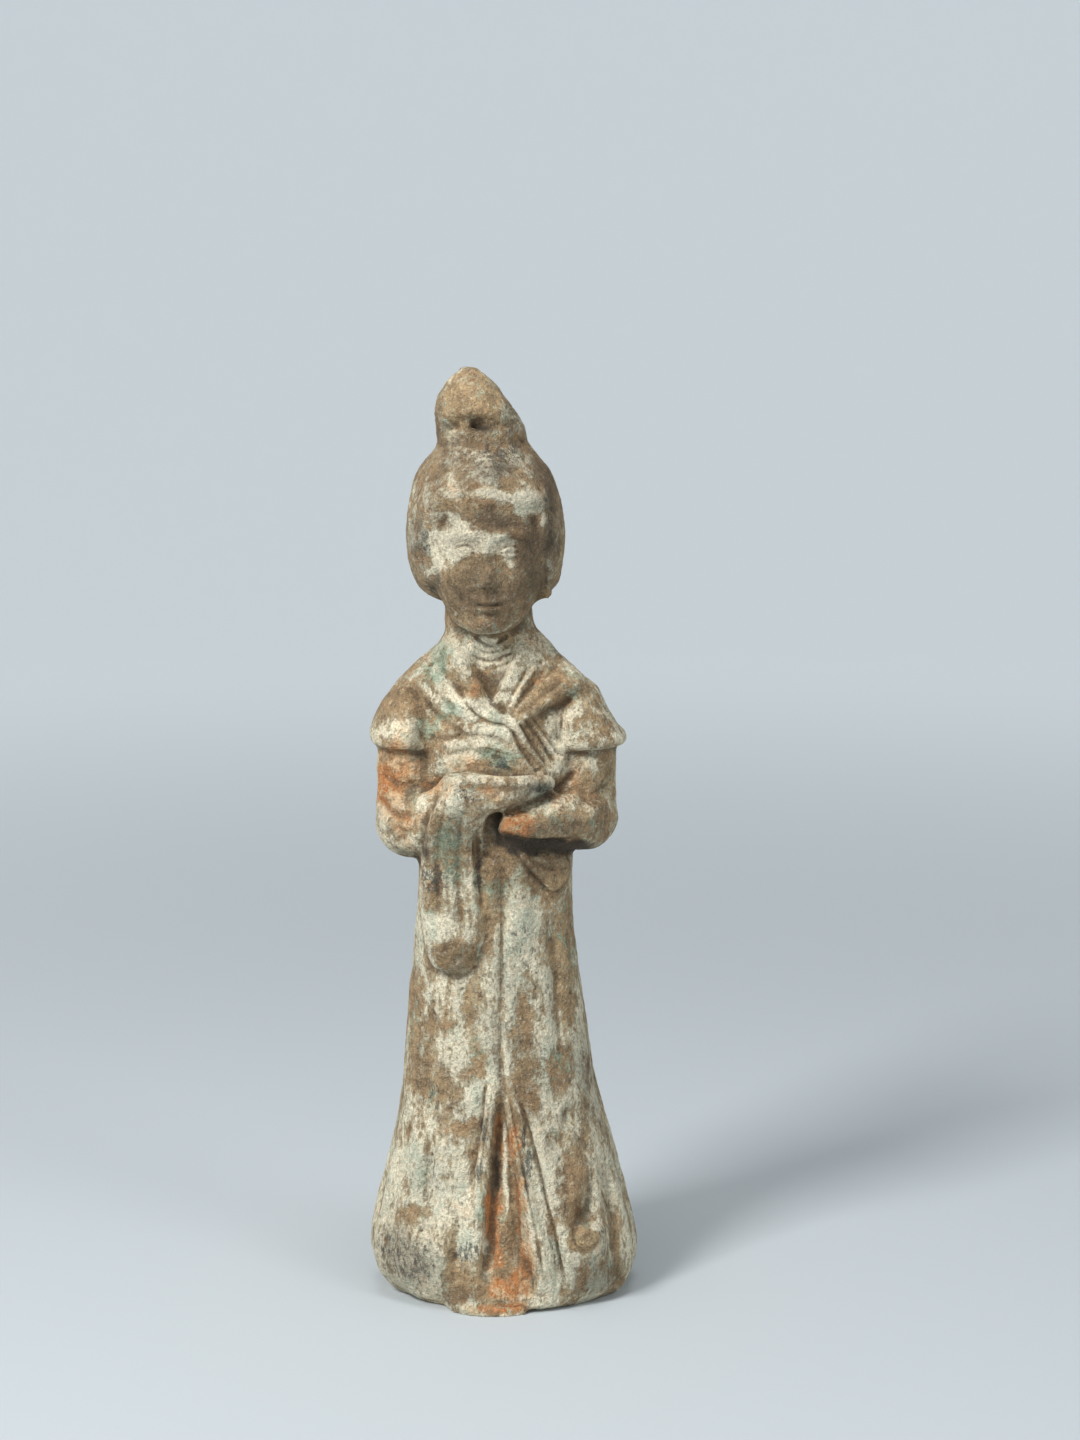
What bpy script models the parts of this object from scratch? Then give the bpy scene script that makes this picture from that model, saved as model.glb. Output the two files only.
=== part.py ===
"""Terracotta tomb figure: a standing attendant in a long skirt, hands folded under a shawl.

The real figure was pressed in a front and a back mould and fired, so it is one solid. It is made
here the way a modeller works in clay. Lumps are set together and fused into one smooth skin, the
folds, hems and features are pressed into that skin, and the foot is cut flat.

All sizes below are shares of HEIGHT, so the figure keeps its proportions at any height. X runs
across the figure, -Y is its front and +Z is up. The origin is on the ground under the hem's middle.
"""

import math

import bmesh
import bpy
import numpy as np
from mathutils import Vector, noise

HEIGHT = 0.26  # ground to the tip of the topknot, metres

# The skin, as shares of HEIGHT
GRAIN = 0.0025  # spacing of the skin's points while it is worked
BLEND = 8  # smoothing passes that run the lumps into each other
POLISH = 1  # smoothing passes after the folds are cut
TRIANGLES = 9900  # of the finished solid
CURVE_STEPS = 7  # straight steps that a smooth curve takes between two of its points

# The body's sections, from the foot up: height, left, right, front, back
BODY_SECTIONS = (
    (-0.006, -0.102, 0.120, -0.090, 0.090),
    (0.004, -0.116, 0.133, -0.100, 0.098),
    (0.016, -0.130, 0.1425, -0.107, 0.104),
    (0.040, -0.142, 0.1450, -0.110, 0.108),
    (0.075, -0.138, 0.141, -0.107, 0.104),
    (0.108, -0.131, 0.134, -0.101, 0.098),
    (0.150, -0.120, 0.122, -0.092, 0.089),
    (0.215, -0.109, 0.105, -0.081, 0.078),
    (0.320, -0.101, 0.088, -0.071, 0.068),
    (0.430, -0.090, 0.077, -0.067, 0.060),
    (0.480, -0.089, 0.077, -0.068, 0.057),
    (0.540, -0.088, 0.079, -0.068, 0.055),
    (0.600, -0.090, 0.082, -0.066, 0.054),
    (0.650, -0.088, 0.073, -0.057, 0.052),
    (0.690, -0.070, 0.046, -0.044, 0.047),
    (0.712, -0.060, 0.036, -0.037, 0.043),
    (0.730, -0.060, 0.034, -0.034, 0.042),
    (0.770, -0.056, 0.032, -0.034, 0.042),
)
BODY_SQUARENESS = 2.3  # of the oval sections, where 2 is an ellipse
AXIS = -0.0045  # where the body's middle is, left of the hem's middle
SHOULDER_SECTIONS = (
    (0.628, -0.118, 0.106, -0.050, 0.046),
    (0.645, -0.118, 0.102, -0.052, 0.050),
    (0.668, -0.108, 0.090, -0.050, 0.050),
    (0.690, -0.088, 0.065, -0.046, 0.048),
    (0.706, -0.068, 0.054, -0.040, 0.046),
    (0.724, -0.056, 0.037, -0.034, 0.043),
)
SHOULDER_SQUARENESS = 2.1
# A half sleeve's sections, with left and right as distances out from AXIS
LEFT_HALF_SLEEVE = (
    (0.600, 0.056, 0.1330, -0.056, 0.039),
    (0.606, 0.054, 0.1355, -0.059, 0.041),
    (0.618, 0.052, 0.1350, -0.058, 0.041),
    (0.640, 0.050, 0.1245, -0.054, 0.039),
    (0.662, 0.046, 0.1095, -0.046, 0.035),
    (0.682, 0.040, 0.0920, -0.034, 0.028),
    (0.696, 0.034, 0.0760, -0.020, 0.018),
)
RIGHT_HALF_SLEEVE = (
    (0.600, 0.056, 0.1385, -0.055, 0.039),
    (0.606, 0.054, 0.1395, -0.058, 0.041),
    (0.618, 0.052, 0.1305, -0.057, 0.041),
    (0.640, 0.050, 0.1160, -0.053, 0.039),
    (0.662, 0.046, 0.1040, -0.045, 0.035),
    (0.682, 0.040, 0.0820, -0.034, 0.028),
    (0.696, 0.034, 0.0650, -0.020, 0.018),
)
SLEEVE_SQUARENESS = 2.2

# Arms, as points down the middle: distance out from AXIS, front to back, height, radius
UPPER_ARM = (
    (0.0800, 0.000, 0.655, 0.0280),
    (0.0915, -0.006, 0.600, 0.0350),
    (0.0930, -0.012, 0.550, 0.0360),
)
LEFT_ELBOW = (0.0915, -0.016, 0.5150, 0.0385)
RIGHT_ELBOW = (0.0920, -0.016, 0.5234, 0.0380)
LEFT_FOREARM = (
    (0.0700, -0.046, 0.522, 0.0330),
    (0.0420, -0.070, 0.540, 0.0280),
    (0.0200, -0.078, 0.550, 0.0240),
)
RIGHT_FOREARM = (
    (0.0760, -0.044, 0.5260, 0.0345),
    (0.0480, -0.066, 0.5250, 0.0280),
    (0.0290, -0.077, 0.5235, 0.0215),
    (0.0150, -0.082, 0.5245, 0.0165),
    (0.0040, -0.083, 0.5275, 0.0105),
)
# The edge of the skirt's right panel, which stands out as far up as the forearm
PANEL_EDGE = (
    (0.015, -0.055, 0.520, 0.0220),
    (0.014, -0.051, 0.480, 0.0230),
    (0.014, -0.049, 0.430, 0.0220),
    (0.013, -0.046, 0.350, 0.0220),
)
COVERED_HANDS = (
    (-0.052, -0.070, 0.550, 0.0240),
    (-0.030, -0.079, 0.556, 0.0250),
    (0.002, -0.084, 0.559, 0.0185),
    (0.034, -0.080, 0.563, 0.0125),
    (0.056, -0.067, 0.567, 0.0090),
)

# The end of the shawl that hangs from the hands, as sections of height, left, right, front, back
HANGING_SHAWL_SECTIONS = (
    (0.363, -0.056, -0.044, -0.066, -0.020),
    (0.366, -0.066, -0.034, -0.074, -0.020),
    (0.374, -0.074, -0.026, -0.078, -0.020),
    (0.390, -0.081, -0.019, -0.080, -0.020),
    (0.410, -0.084, -0.0145, -0.0805, -0.020),
    (0.440, -0.086, -0.0135, -0.0810, -0.020),
    (0.475, -0.085, -0.0175, -0.0840, -0.020),
    (0.505, -0.082, -0.0200, -0.0900, -0.020),
    (0.530, -0.078, -0.0130, -0.0990, -0.020),
    (0.550, -0.072, -0.0100, -0.1040, -0.020),
    (0.568, -0.064, -0.0120, -0.1010, -0.020),
    (0.578, -0.054, -0.0220, -0.0900, -0.020),
)
HANGING_SHAWL_SQUARENESS = 3.2

# The head
CHIN = 0.724
HAIRLINE = 0.877
FACE_MIDDLE = -0.0125  # across
FACE_SECTIONS = (
    (0.724, -0.033, 0.008, -0.066, 0.010),
    (0.730, -0.044, 0.019, -0.074, 0.020),
    (0.745, -0.056, 0.031, -0.0800, 0.030),
    (0.765, -0.067, 0.042, -0.0830, 0.036),
    (0.790, -0.076, 0.051, -0.0835, 0.040),
    (0.815, -0.080, 0.055, -0.0830, 0.040),
    (0.840, -0.079, 0.054, -0.0815, 0.040),
    (0.862, -0.072, 0.047, -0.0780, 0.036),
    (0.882, -0.058, 0.033, -0.0710, 0.030),
)
FACE_SQUARENESS = 2.3
OPENING_HALVES = (0.0600, 0.0760)  # of the opening that the hair leaves for the face
OPENING_FRONT = -0.054  # the hair is cut back from the face as far as this
HAIR_SECTIONS = (
    (0.750, -0.064, 0.034, 0.004, 0.050),
    (0.758, -0.079, 0.048, -0.024, 0.060),
    (0.770, -0.089, 0.060, -0.048, 0.071),
    (0.790, -0.0975, 0.065, -0.066, 0.082),
    (0.828, -0.1015, 0.0690, -0.077, 0.090),
    (0.860, -0.0970, 0.0635, -0.0815, 0.088),
    (0.885, -0.0890, 0.0545, -0.0765, 0.080),
    (0.905, -0.0760, 0.040, -0.060, 0.068),
    (0.920, -0.0640, 0.028, -0.044, 0.054),
    (0.932, -0.0500, 0.015, -0.028, 0.038),
)
HAIR_SQUARENESS = 2.05
TOPKNOT_SECTIONS = (
    (0.900, -0.064, 0.024, -0.036, 0.046),
    (0.920, -0.066, 0.028, -0.040, 0.048),
    (0.937, -0.068, 0.026, -0.047, 0.048),
    (0.953, -0.0695, 0.016, -0.051, 0.045),
    (0.968, -0.0675, 0.005, -0.045, 0.039),
    (0.981, -0.060, -0.004, -0.034, 0.030),
    (0.991, -0.051, -0.016, -0.022, 0.020),
    (1.000, -0.041, -0.028, -0.009, 0.009),
)
TOPKNOT_SQUARENESS = 2.0

# The roll of hair round the face, and the crease inside it
ROLL_HALVES = (0.0710, 0.0880)
ROLL_RISE = 0.0045
ROLL_WIDTH = 0.0100
HAIR_CREASE_DEPTH = 0.0050
HAIR_CREASE_WIDTH = 0.0038
HAIR_ENDS = -40  # how far below the face's middle the roll starts and ends, degrees

# Areas of the front that stand proud or are sunk, each as its rise, how far its edge takes to
# rise, and its (across, height) outline
SHAWL_POINT = (
    0.0080,
    0.0045,
    (
        (0.010, 0.494),
        (0.022, 0.477),
        (0.040, 0.456),
        (0.057, 0.440),
        (0.068, 0.451),
        (0.074, 0.478),
        (0.045, 0.490),
    ),
)
NECK_OPENING = (
    -0.0080,
    0.0060,
    (
        (-0.036, 0.700),
        (-0.024, 0.672),
        (-0.010, 0.650),
        (0.001, 0.668),
        (0.013, 0.698),
        (-0.010, 0.704),
    ),
)
SKIRT_SLIT = (
    -0.0150,
    0.0085,
    (
        (-0.001, 0.250),
        (-0.012, 0.173),
        (-0.022, 0.084),
        (-0.024, 0.034),
        (-0.010, 0.012),
        (0.028, 0.012),
        (0.040, 0.034),
        (0.033, 0.084),
        (0.017, 0.173),
    ),
)

# Folds on the front, each as a depth, a width and the (across, height) points that it runs
# through. A lap is an edge of cloth that stands up on the left of its run.
NECK_CREASES = (
    (0.0050, 0.0030, ((-0.030, 0.719), (-0.010, 0.7095), (0.012, 0.721))),
    (0.0050, 0.0030, ((-0.032, 0.710), (-0.010, 0.7010), (0.014, 0.713))),
    (0.0045, 0.0030, ((-0.034, 0.701), (-0.010, 0.6930), (0.016, 0.704))),
)
CHEST_GROOVES = (
    (0.0050, 0.0045, ((0.027, 0.700), (0.018, 0.676), (0.006, 0.653))),
    (0.0065, 0.0048, ((0.045, 0.696), (0.030, 0.670), (0.014, 0.646))),
    (0.0055, 0.0045, ((0.066, 0.692), (0.042, 0.668), (0.018, 0.643))),
    (0.0065, 0.0050, ((-0.066, 0.702), (-0.052, 0.678), (-0.030, 0.652))),
    (0.0060, 0.0040, ((0.007, 0.622), (0.025, 0.600), (0.043, 0.575))),
    (0.0065, 0.0040, ((0.017, 0.625), (0.036, 0.600), (0.053, 0.577))),
    (0.0055, 0.0040, ((0.028, 0.622), (0.046, 0.601), (0.060, 0.583))),
    (0.0045, 0.0045, ((-0.066, 0.634), (-0.030, 0.630), (0.006, 0.618))),
    (0.0055, 0.0045, ((-0.066, 0.613), (-0.022, 0.613), (0.018, 0.603))),
    (0.0055, 0.0045, ((-0.064, 0.596), (-0.020, 0.599), (0.028, 0.587))),
)
SLEEVE_GROOVES = (
    (0.0100, 0.0060, ((-0.104, 0.668), (-0.088, 0.652), (-0.080, 0.625), (-0.079, 0.596))),
    (0.0090, 0.0060, ((0.076, 0.662), (0.064, 0.640), (0.060, 0.600))),
    (0.0070, 0.0055, ((-0.130, 0.548), (-0.112, 0.530), (-0.092, 0.534))),
    (0.0065, 0.0050, ((-0.127, 0.570), (-0.104, 0.556), (-0.084, 0.564))),
    (0.0060, 0.0050, ((-0.112, 0.498), (-0.094, 0.516), (-0.080, 0.540))),
    (0.0045, 0.0055, ((0.118, 0.564), (0.098, 0.548), (0.080, 0.556))),
    (0.0085, 0.0050, ((-0.086, 0.492), (-0.082, 0.530), (-0.070, 0.560), (-0.056, 0.580))),
    (0.0050, 0.0045, ((0.084, 0.580), (0.064, 0.561), (0.043, 0.5525), (0.020, 0.543), (-0.006, 0.537))),
)
SHAWL_GROOVES = (
    (0.0080, 0.0040, ((-0.024, 0.530), (-0.023, 0.476), (-0.019, 0.425))),
    (0.0050, 0.0050, ((-0.058, 0.555), (-0.066, 0.490), (-0.064, 0.420))),
    (0.0045, 0.0050, ((-0.040, 0.550), (-0.044, 0.480), (-0.042, 0.400))),
    (0.0050, 0.0042, ((-0.045, 0.570), (-0.010, 0.567), (0.030, 0.567))),
    (0.0045, 0.0038, ((0.024, 0.496), (0.038, 0.472), (0.054, 0.450))),
    (0.0045, 0.0038, ((0.042, 0.494), (0.052, 0.474), (0.062, 0.456))),
)
SKIRT_GROOVES = (
    (0.0075, 0.0048, ((-0.001, 0.505), (0.002, 0.430), (0.001, 0.330), (-0.001, 0.225))),
    (0.0045, 0.0060, ((0.056, 0.440), (0.060, 0.330), (0.066, 0.260))),
    (0.0055, 0.0038, ((-0.015, 0.250), (-0.025, 0.190), (-0.036, 0.120))),
    (0.0065, 0.0042, ((0.014, 0.248), (0.025, 0.194), (0.037, 0.133), (0.051, 0.084), (0.068, 0.014))),
    (0.0110, 0.0085, ((0.072, 0.225), (0.083, 0.160), (0.087, 0.108), (0.084, 0.080))),
    (0.0065, 0.0055, ((-0.076, 0.185), (-0.080, 0.145), (-0.083, 0.108))),
    (0.0050, 0.0060, ((-0.072, 0.345), (-0.078, 0.270), (-0.086, 0.210))),
    (0.0060, 0.0060, ((0.110, 0.150), (0.120, 0.095), (0.124, 0.045))),
    (0.0045, 0.0055, ((-0.046, 0.115), (-0.050, 0.070), (-0.052, 0.025))),
)
PLEAT_GROOVES = (
    (0.0060, 0.0042, ((-0.003, 0.225), (-0.007, 0.120), (-0.010, 0.040))),
    (0.0045, 0.0040, ((0.009, 0.160), (0.016, 0.090), (0.022, 0.040))),
)
SKIRT_RIDGES = (
    (0.0045, 0.0055, ((0.032, 0.220), (0.046, 0.161), (0.064, 0.114), (0.071, 0.066), (0.075, 0.012))),
    (0.0040, 0.0050, ((0.006, 0.250), (0.016, 0.190), (0.028, 0.133), (0.040, 0.084), (0.052, 0.014))),
    (0.0035, 0.0050, ((-0.007, 0.250), (-0.018, 0.190), (-0.028, 0.120), (-0.031, 0.040))),
    (0.0030, 0.0045, ((-0.066, 0.130), (-0.067, 0.075), (-0.068, 0.020))),
    (0.0040, 0.0055, ((0.008, 0.435), (0.007, 0.340), (0.005, 0.245))),
)
LAPS = (
    (0.0065, 0.020, ((-0.010, 0.648), (-0.026, 0.676), (-0.052, 0.724))),
    (0.0065, 0.020, ((0.022, 0.718), (0.010, 0.688), (-0.008, 0.650))),
    (0.0130, 0.024, ((0.012, 0.624), (0.050, 0.646), (0.094, 0.668))),
    (0.0075, 0.045, ((0.062, 0.566), (0.044, 0.598), (0.016, 0.630), (-0.006, 0.644), (-0.050, 0.668))),
)
TOPKNOT_CREASES = (
    (0.0090, 0.0050, ((-0.066, 0.934), (-0.040, 0.945), (-0.018, 0.944), (0.002, 0.942), (0.016, 0.937))),
)

# Folds on the back
BACK_GROOVES = (
    (0.0080, 0.0060, ((-0.092, 0.682), (-0.080, 0.645), (-0.079, 0.598))),
    (0.0080, 0.0060, ((0.083, 0.682), (0.071, 0.645), (0.070, 0.598))),
    (0.0055, 0.0075, ((-0.030, 0.430), (-0.045, 0.250), (-0.066, 0.030))),
    (0.0055, 0.0075, ((0.002, 0.400), (0.004, 0.220), (-0.004, 0.030))),
    (0.0055, 0.0075, ((0.034, 0.430), (0.048, 0.250), (0.068, 0.030))),
)
BACK_LAPS = (
    (0.0070, 0.030, ((-0.086, 0.650), (-0.040, 0.600), (0.000, 0.588), (0.036, 0.602), (0.078, 0.650))),
    (0.0050, 0.020, ((-0.066, 0.690), (-0.034, 0.660), (-0.004, 0.652), (0.026, 0.662), (0.056, 0.690))),
)
LAP_EDGE = 0.0040  # how far a lap takes to rise
FOLD_REACH = 3  # a fold is worked out as far as this many of its widths
FADE = 0.18  # share of a fold's length over which each of its ends fades out
PRESS_LIMIT = 0.25  # how far a surface turns from facing sideways before a fold is at full depth

# The flare's flutes on the flanks and back of the skirt
FLUTES = 15
FLUTE_DEPTH = 0.0034
FLUTE_TOP = 0.40
FLUTE_START = math.radians(50)  # the turn from the front where the flutes begin
FLUTE_FULL = math.radians(80)

# Features on the face, on the usual thirds from the hairline to the chin
THIRD = (HAIRLINE - CHIN) / 3
BROW_LINE = HAIRLINE - THIRD
NOSE_LINE = CHIN + THIRD
MOUTH_LINE = CHIN + 0.66 * THIRD
EYE_LINE = BROW_LINE - 0.26 * THIRD
EYE_SPACING = 0.0235
FACE_DEPTH = 0.034  # features are pressed on the face as far behind OPENING_FRONT as this
# Each bump as a rise, its place across and up, and its halves; the paired ones are on both sides
MIDDLE_FEATURES = (
    (0.0085, 0, NOSE_LINE + 0.0066, 0.0066, 0.0088),
    (0.0070, 0, MOUTH_LINE + 0.0030, 0.0125, 0.0032),
    (0.0080, 0, MOUTH_LINE - 0.0046, 0.0100, 0.0036),
    (-0.0070, 0, MOUTH_LINE - 0.0006, 0.0145, 0.0018),
    (0.0050, 0, CHIN + 0.0110, 0.0130, 0.0090),
)
PAIRED_FEATURES = (
    (-0.0115, EYE_SPACING - 0.0010, EYE_LINE + 0.0005, 0.0145, 0.0082),
    (0.0150, EYE_SPACING, EYE_LINE - 0.0010, 0.0115, 0.0050),
    (0.0040, 0.0072, NOSE_LINE + 0.0048, 0.0042, 0.0046),
    (0.0040, 0.0300, NOSE_LINE + 0.0070, 0.0170, 0.0160),
)
BROW = (0.0026, 0.0036, ((0.009, BROW_LINE), (0.023, BROW_LINE + 0.006), (0.040, BROW_LINE)))
LIDS = (0.0050, 0.0018, ((0.012, EYE_LINE - 0.001), (0.023, EYE_LINE - 0.0015), (0.036, EYE_LINE)))
BRIDGE = (0.0080, 0.0056, ((0, BROW_LINE), (0, (BROW_LINE + NOSE_LINE) / 2), (0, NOSE_LINE + 0.003)))

# Small lumps and damage, as places across, deep and up, and as bumps like those of the face
UNDERSKIRT_PLACE = (-0.006, -0.088, 0.000)
UNDERSKIRT_HALVES = (0.052, 0.033, 0.022)
HAIR_NUB = (0.0455, -0.028, 0.765)
HAIR_NUB_RADIUS = 0.0100
CHIP_PLACE = (0.036, -0.110, 0.000)
CHIP_HALVES = (0.0085, 0.014, 0.0090)
KNOB = (0.0140, 0.097, 0.072, 0.0135, 0.0155)
TOPKNOT_PIT = (-0.0110, -0.022, 0.943, 0.0060, 0.0042)
UNEVENNESS = 0.0013  # of a hand-finished surface
LUMPS = (14, 40)  # how many lumps of that unevenness run over the figure's height, coarse and fine

CLAY_COLOUR = (0.30, 0.20, 0.125, 1.0)


def rows_between(rows, wanted):
    """The rows' values at the wanted heights, on smooth curves through the rows."""
    rows = np.array(rows)
    known, values = rows[:, 0], rows[:, 1:]
    slopes = np.gradient(values, known, axis=0)
    place = np.clip(np.searchsorted(known, wanted) - 1, 0, len(known) - 2)
    gap = (known[place + 1] - known[place])[:, None]
    t = (np.asarray(wanted)[:, None] - known[place][:, None]) / gap
    return (
        (1 + 2 * t) * (1 - t) ** 2 * values[place]
        + t * (1 - t) ** 2 * gap * slopes[place]
        + t**2 * (3 - 2 * t) * values[place + 1]
        - t**2 * (1 - t) * gap * slopes[place + 1]
    )


def curve_through(points):
    """Points of a smooth curve through the given points, with CURVE_STEPS between two."""
    points = np.array(points, float)
    ends = (2 * points[0] - points[1], 2 * points[-1] - points[-2])
    held = np.vstack((ends[0], points, ends[1]))
    t = np.linspace(0, 1, CURVE_STEPS, endpoint=False)[:, None]
    spans = []
    for a, b, c, d in zip(held, held[1:], held[2:], held[3:]):
        bend = 2 * b + (c - a) * t + (2 * a - 5 * b + 4 * c - d) * t**2
        spans.append((bend + (3 * b - a - 3 * c + d) * t**3) / 2)
    return np.vstack((*spans, points[-1:]))


def ramp(values):
    """0 below 0, 1 above 1 and a smooth rise between."""
    held = np.clip(values, 0, 1)
    return held * held * (3 - 2 * held)


def loft(sections, squareness, rings=48, sides=72):
    """A closed skin through oval sections of height, left, right, front and back."""
    first, last = sections[0][0], sections[-1][0]
    heights = np.linspace(first, last, rings)
    mesh = bmesh.new()
    skin = []
    for height, (left, right, front, back) in zip(heights, rows_between(sections, heights)):
        ring = []
        for turn in np.linspace(0, math.tau, sides, endpoint=False):
            across = math.copysign(abs(math.cos(turn)) ** (2 / squareness), math.cos(turn))
            deep = math.copysign(abs(math.sin(turn)) ** (2 / squareness), math.sin(turn))
            x = (left + right + across * (right - left)) / 2
            y = (front + back + deep * (back - front)) / 2
            ring.append(mesh.verts.new(Vector((x, y, height)) * HEIGHT))
        skin.append(ring)
    for below, above in zip(skin, skin[1:]):
        for side in range(sides):
            after = (side + 1) % sides
            mesh.faces.new((below[side], below[after], above[after], above[side]))
    mesh.faces.new(reversed(skin[0]))
    mesh.faces.new(skin[-1])
    return as_mesh(mesh, "loft")


def ball(centre, halves, segments=48):
    """A closed ellipsoid."""
    mesh = bmesh.new()
    bmesh.ops.create_uvsphere(mesh, u_segments=segments, v_segments=segments // 2, radius=1)
    bmesh.ops.scale(mesh, vec=Vector(halves) * HEIGHT, verts=mesh.verts)
    bmesh.ops.translate(mesh, vec=Vector(centre) * HEIGHT, verts=mesh.verts)
    return as_mesh(mesh, "ball")


def limb(points):
    """A round limb along points of across, front to back, height and radius."""
    line = bpy.data.curves.new("limb", "CURVE")
    line.dimensions = "3D"
    line.bevel_depth = HEIGHT
    line.bevel_resolution = 8
    line.use_fill_caps = True
    path = curve_through(points)
    spline = line.splines.new("POLY")
    spline.points.add(len(path) - 1)
    for point, (x, y, z, radius) in zip(spline.points, path):
        point.co = (*(Vector((x, y, z)) * HEIGHT), 1)
        point.radius = radius
    tube = bpy.data.objects.new("limb", line)
    bpy.context.scene.collection.objects.link(tube)
    mesh = evaluated_mesh(tube)
    bpy.data.objects.remove(tube)
    return mesh


def out_from_axis(points, side):
    """Points of a limb as given for one side, set to the left (-1) or right (1) of AXIS."""
    return [(AXIS + side * out, *rest) for out, *rest in points]


def half_sleeve(side, distances):
    """The flared cap of a half sleeve, whose flat lower edge is the sleeve's hem."""
    sections = []
    for height, inner, outer, front, back in distances:
        left, right = sorted((AXIS + side * inner, AXIS + side * outer))
        sections.append((height, left, right, front, back))
    return loft(sections, SLEEVE_SQUARENESS, rings=24, sides=48)


def arm(side, elbow, forearm):
    """An arm as two limbs that meet in the ball of the elbow."""
    upper = out_from_axis((*UPPER_ARM, elbow), side)
    lower = out_from_axis((elbow, *forearm), side)
    *centre, radius = lower[0]
    return limb(upper), ball(centre, (radius,) * 3), limb(lower)


def hair():
    """The hair's mass, open in front of the face."""
    mass = placed("hair", loft(HAIR_SECTIONS, HAIR_SQUARENESS))
    wide, tall = OPENING_HALVES
    reach = 0.1
    bpy.ops.mesh.primitive_cylinder_add(
        vertices=64,
        radius=1,
        depth=1,
        location=Vector((FACE_MIDDLE, OPENING_FRONT - reach / 2, (CHIN + HAIRLINE) / 2)) * HEIGHT,
        rotation=(math.pi / 2, 0, 0),
        scale=Vector((wide, tall, reach)) * HEIGHT,
    )
    cutter = bpy.context.object
    cutter.hide_render = True
    cutter.display_type = "WIRE"
    worked(mass, "BOOLEAN", object=cutter, operation="DIFFERENCE", solver="EXACT")
    bpy.data.objects.remove(cutter)
    mesh = mass.data.copy()
    bpy.data.objects.remove(mass)
    return mesh


def as_mesh(working, name):
    """A mesh from a bmesh, with its faces turned outwards."""
    bmesh.ops.recalc_face_normals(working, faces=working.faces)
    mesh = bpy.data.meshes.new(name)
    working.to_mesh(mesh)
    working.free()
    return mesh


def placed(name, mesh):
    """An object of this mesh in the scene."""
    obj = bpy.data.objects.new(name, mesh)
    bpy.context.scene.collection.objects.link(obj)
    return obj


def evaluated_mesh(obj):
    """The object's mesh with its modifiers or its curve worked out."""
    bpy.context.view_layer.update()
    graph = bpy.context.evaluated_depsgraph_get()
    return bpy.data.meshes.new_from_object(obj.evaluated_get(graph), depsgraph=graph)


def worked(obj, kind, **settings):
    """The object with a modifier of this kind applied."""
    modifier = obj.modifiers.new(kind.title(), kind)
    for setting, value in settings.items():
        setattr(modifier, setting, value)
    mesh = evaluated_mesh(obj)
    obj.modifiers.clear()
    obj.data = mesh
    return obj


def fused(name, lumps):
    """One skin round all the lumps, smoothed so that they run into each other."""
    together = bmesh.new()
    for lump in lumps:
        together.from_mesh(lump)
    mesh = bpy.data.meshes.new(name)
    together.to_mesh(mesh)
    together.free()
    clay = placed(name, mesh)
    worked(clay, "REMESH", mode="VOXEL", voxel_size=GRAIN * HEIGHT)
    return worked(clay, "SMOOTH", factor=0.5, iterations=BLEND)


def distance_to(places, path):
    """How far each place is from the path, positive on its left, and how far along it is."""
    nearest = np.full(len(places), np.inf)
    side = np.ones(len(places))
    along = np.zeros(len(places))
    steps = np.diff(path, axis=0)
    lengths = np.hypot(*steps.T)
    passed = np.concatenate(((0,), np.cumsum(lengths)))
    for start, step, length, before in zip(path, steps, lengths, passed):
        share = np.clip((places - start) @ step / length**2, 0, 1)
        away = places - start - share[:, None] * step
        distance = np.hypot(*away.T)
        closer = distance < nearest
        nearest[closer] = distance[closer]
        turn = step[0] * away[closer, 1] - step[1] * away[closer, 0]
        side[closer] = np.where(turn < 0, -1, 1)
        along[closer] = before + share[closer] * length
    return nearest * side, along / passed[-1]


def fold(places, points, reach, profile):
    """A fold's rise at each place: its profile across the path, fading out at both ends."""
    path = curve_through(points)
    rise = np.zeros(len(places))
    low, high = path.min(axis=0) - reach, path.max(axis=0) + reach
    near = np.all((places > low) & (places < high), axis=1)
    distance, along = distance_to(places[near], path)
    rise[near] = profile(distance) * ramp(along / FADE) * ramp((1 - along) / FADE)
    return rise


def grooves(places, folds):
    """The rise of a set of pressed lines, below zero."""
    total = np.zeros(len(places))
    for depth, width, points in folds:
        reach = FOLD_REACH * width
        total -= fold(places, points, reach, lambda d: depth * np.exp(-((d / width) ** 2)))
    return total


def laps(places, folds):
    """The rise of a set of cloth edges: quick at the edge, then sinking back over the cloth."""
    total = np.zeros(len(places))
    for depth, width, points in folds:
        total += fold(
            places,
            points,
            FOLD_REACH * width,
            lambda d: depth * ramp(d / LAP_EDGE + 0.5) * np.exp(-((np.maximum(d, 0) / width) ** 2)),
        )
    return total


def patch(places, rise, edge, outline):
    """A raised (or sunk) area inside a closed outline, rounded over its edge."""
    outline = np.array(outline)
    corners = curve_through((*outline[-2:], *outline, *outline[:2]))
    loop = corners[2 * CURVE_STEPS : -CURVE_STEPS]
    inside = np.zeros(len(places), bool)
    x, z = places.T
    for (x0, z0), (x1, z1) in zip(loop, loop[1:]):
        crosses = (z0 > z) != (z1 > z)
        inside ^= crosses & (x < (x1 - x0) * (z - z0) / (z1 - z0 if z1 != z0 else 1) + x0)
    depth_in = np.zeros(len(places))
    distance, _ = distance_to(places[inside], loop)
    depth_in[inside] = np.abs(distance)
    return rise * ramp(depth_in / edge)


def swelling(places, rise, across, height, half_width, half_height):
    """A soft bump, or a dent where the rise is below zero."""
    away = (places - np.array((across, height))) / np.array((half_width, half_height))
    return rise * np.exp(-(away**2).sum(axis=1))


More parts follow.
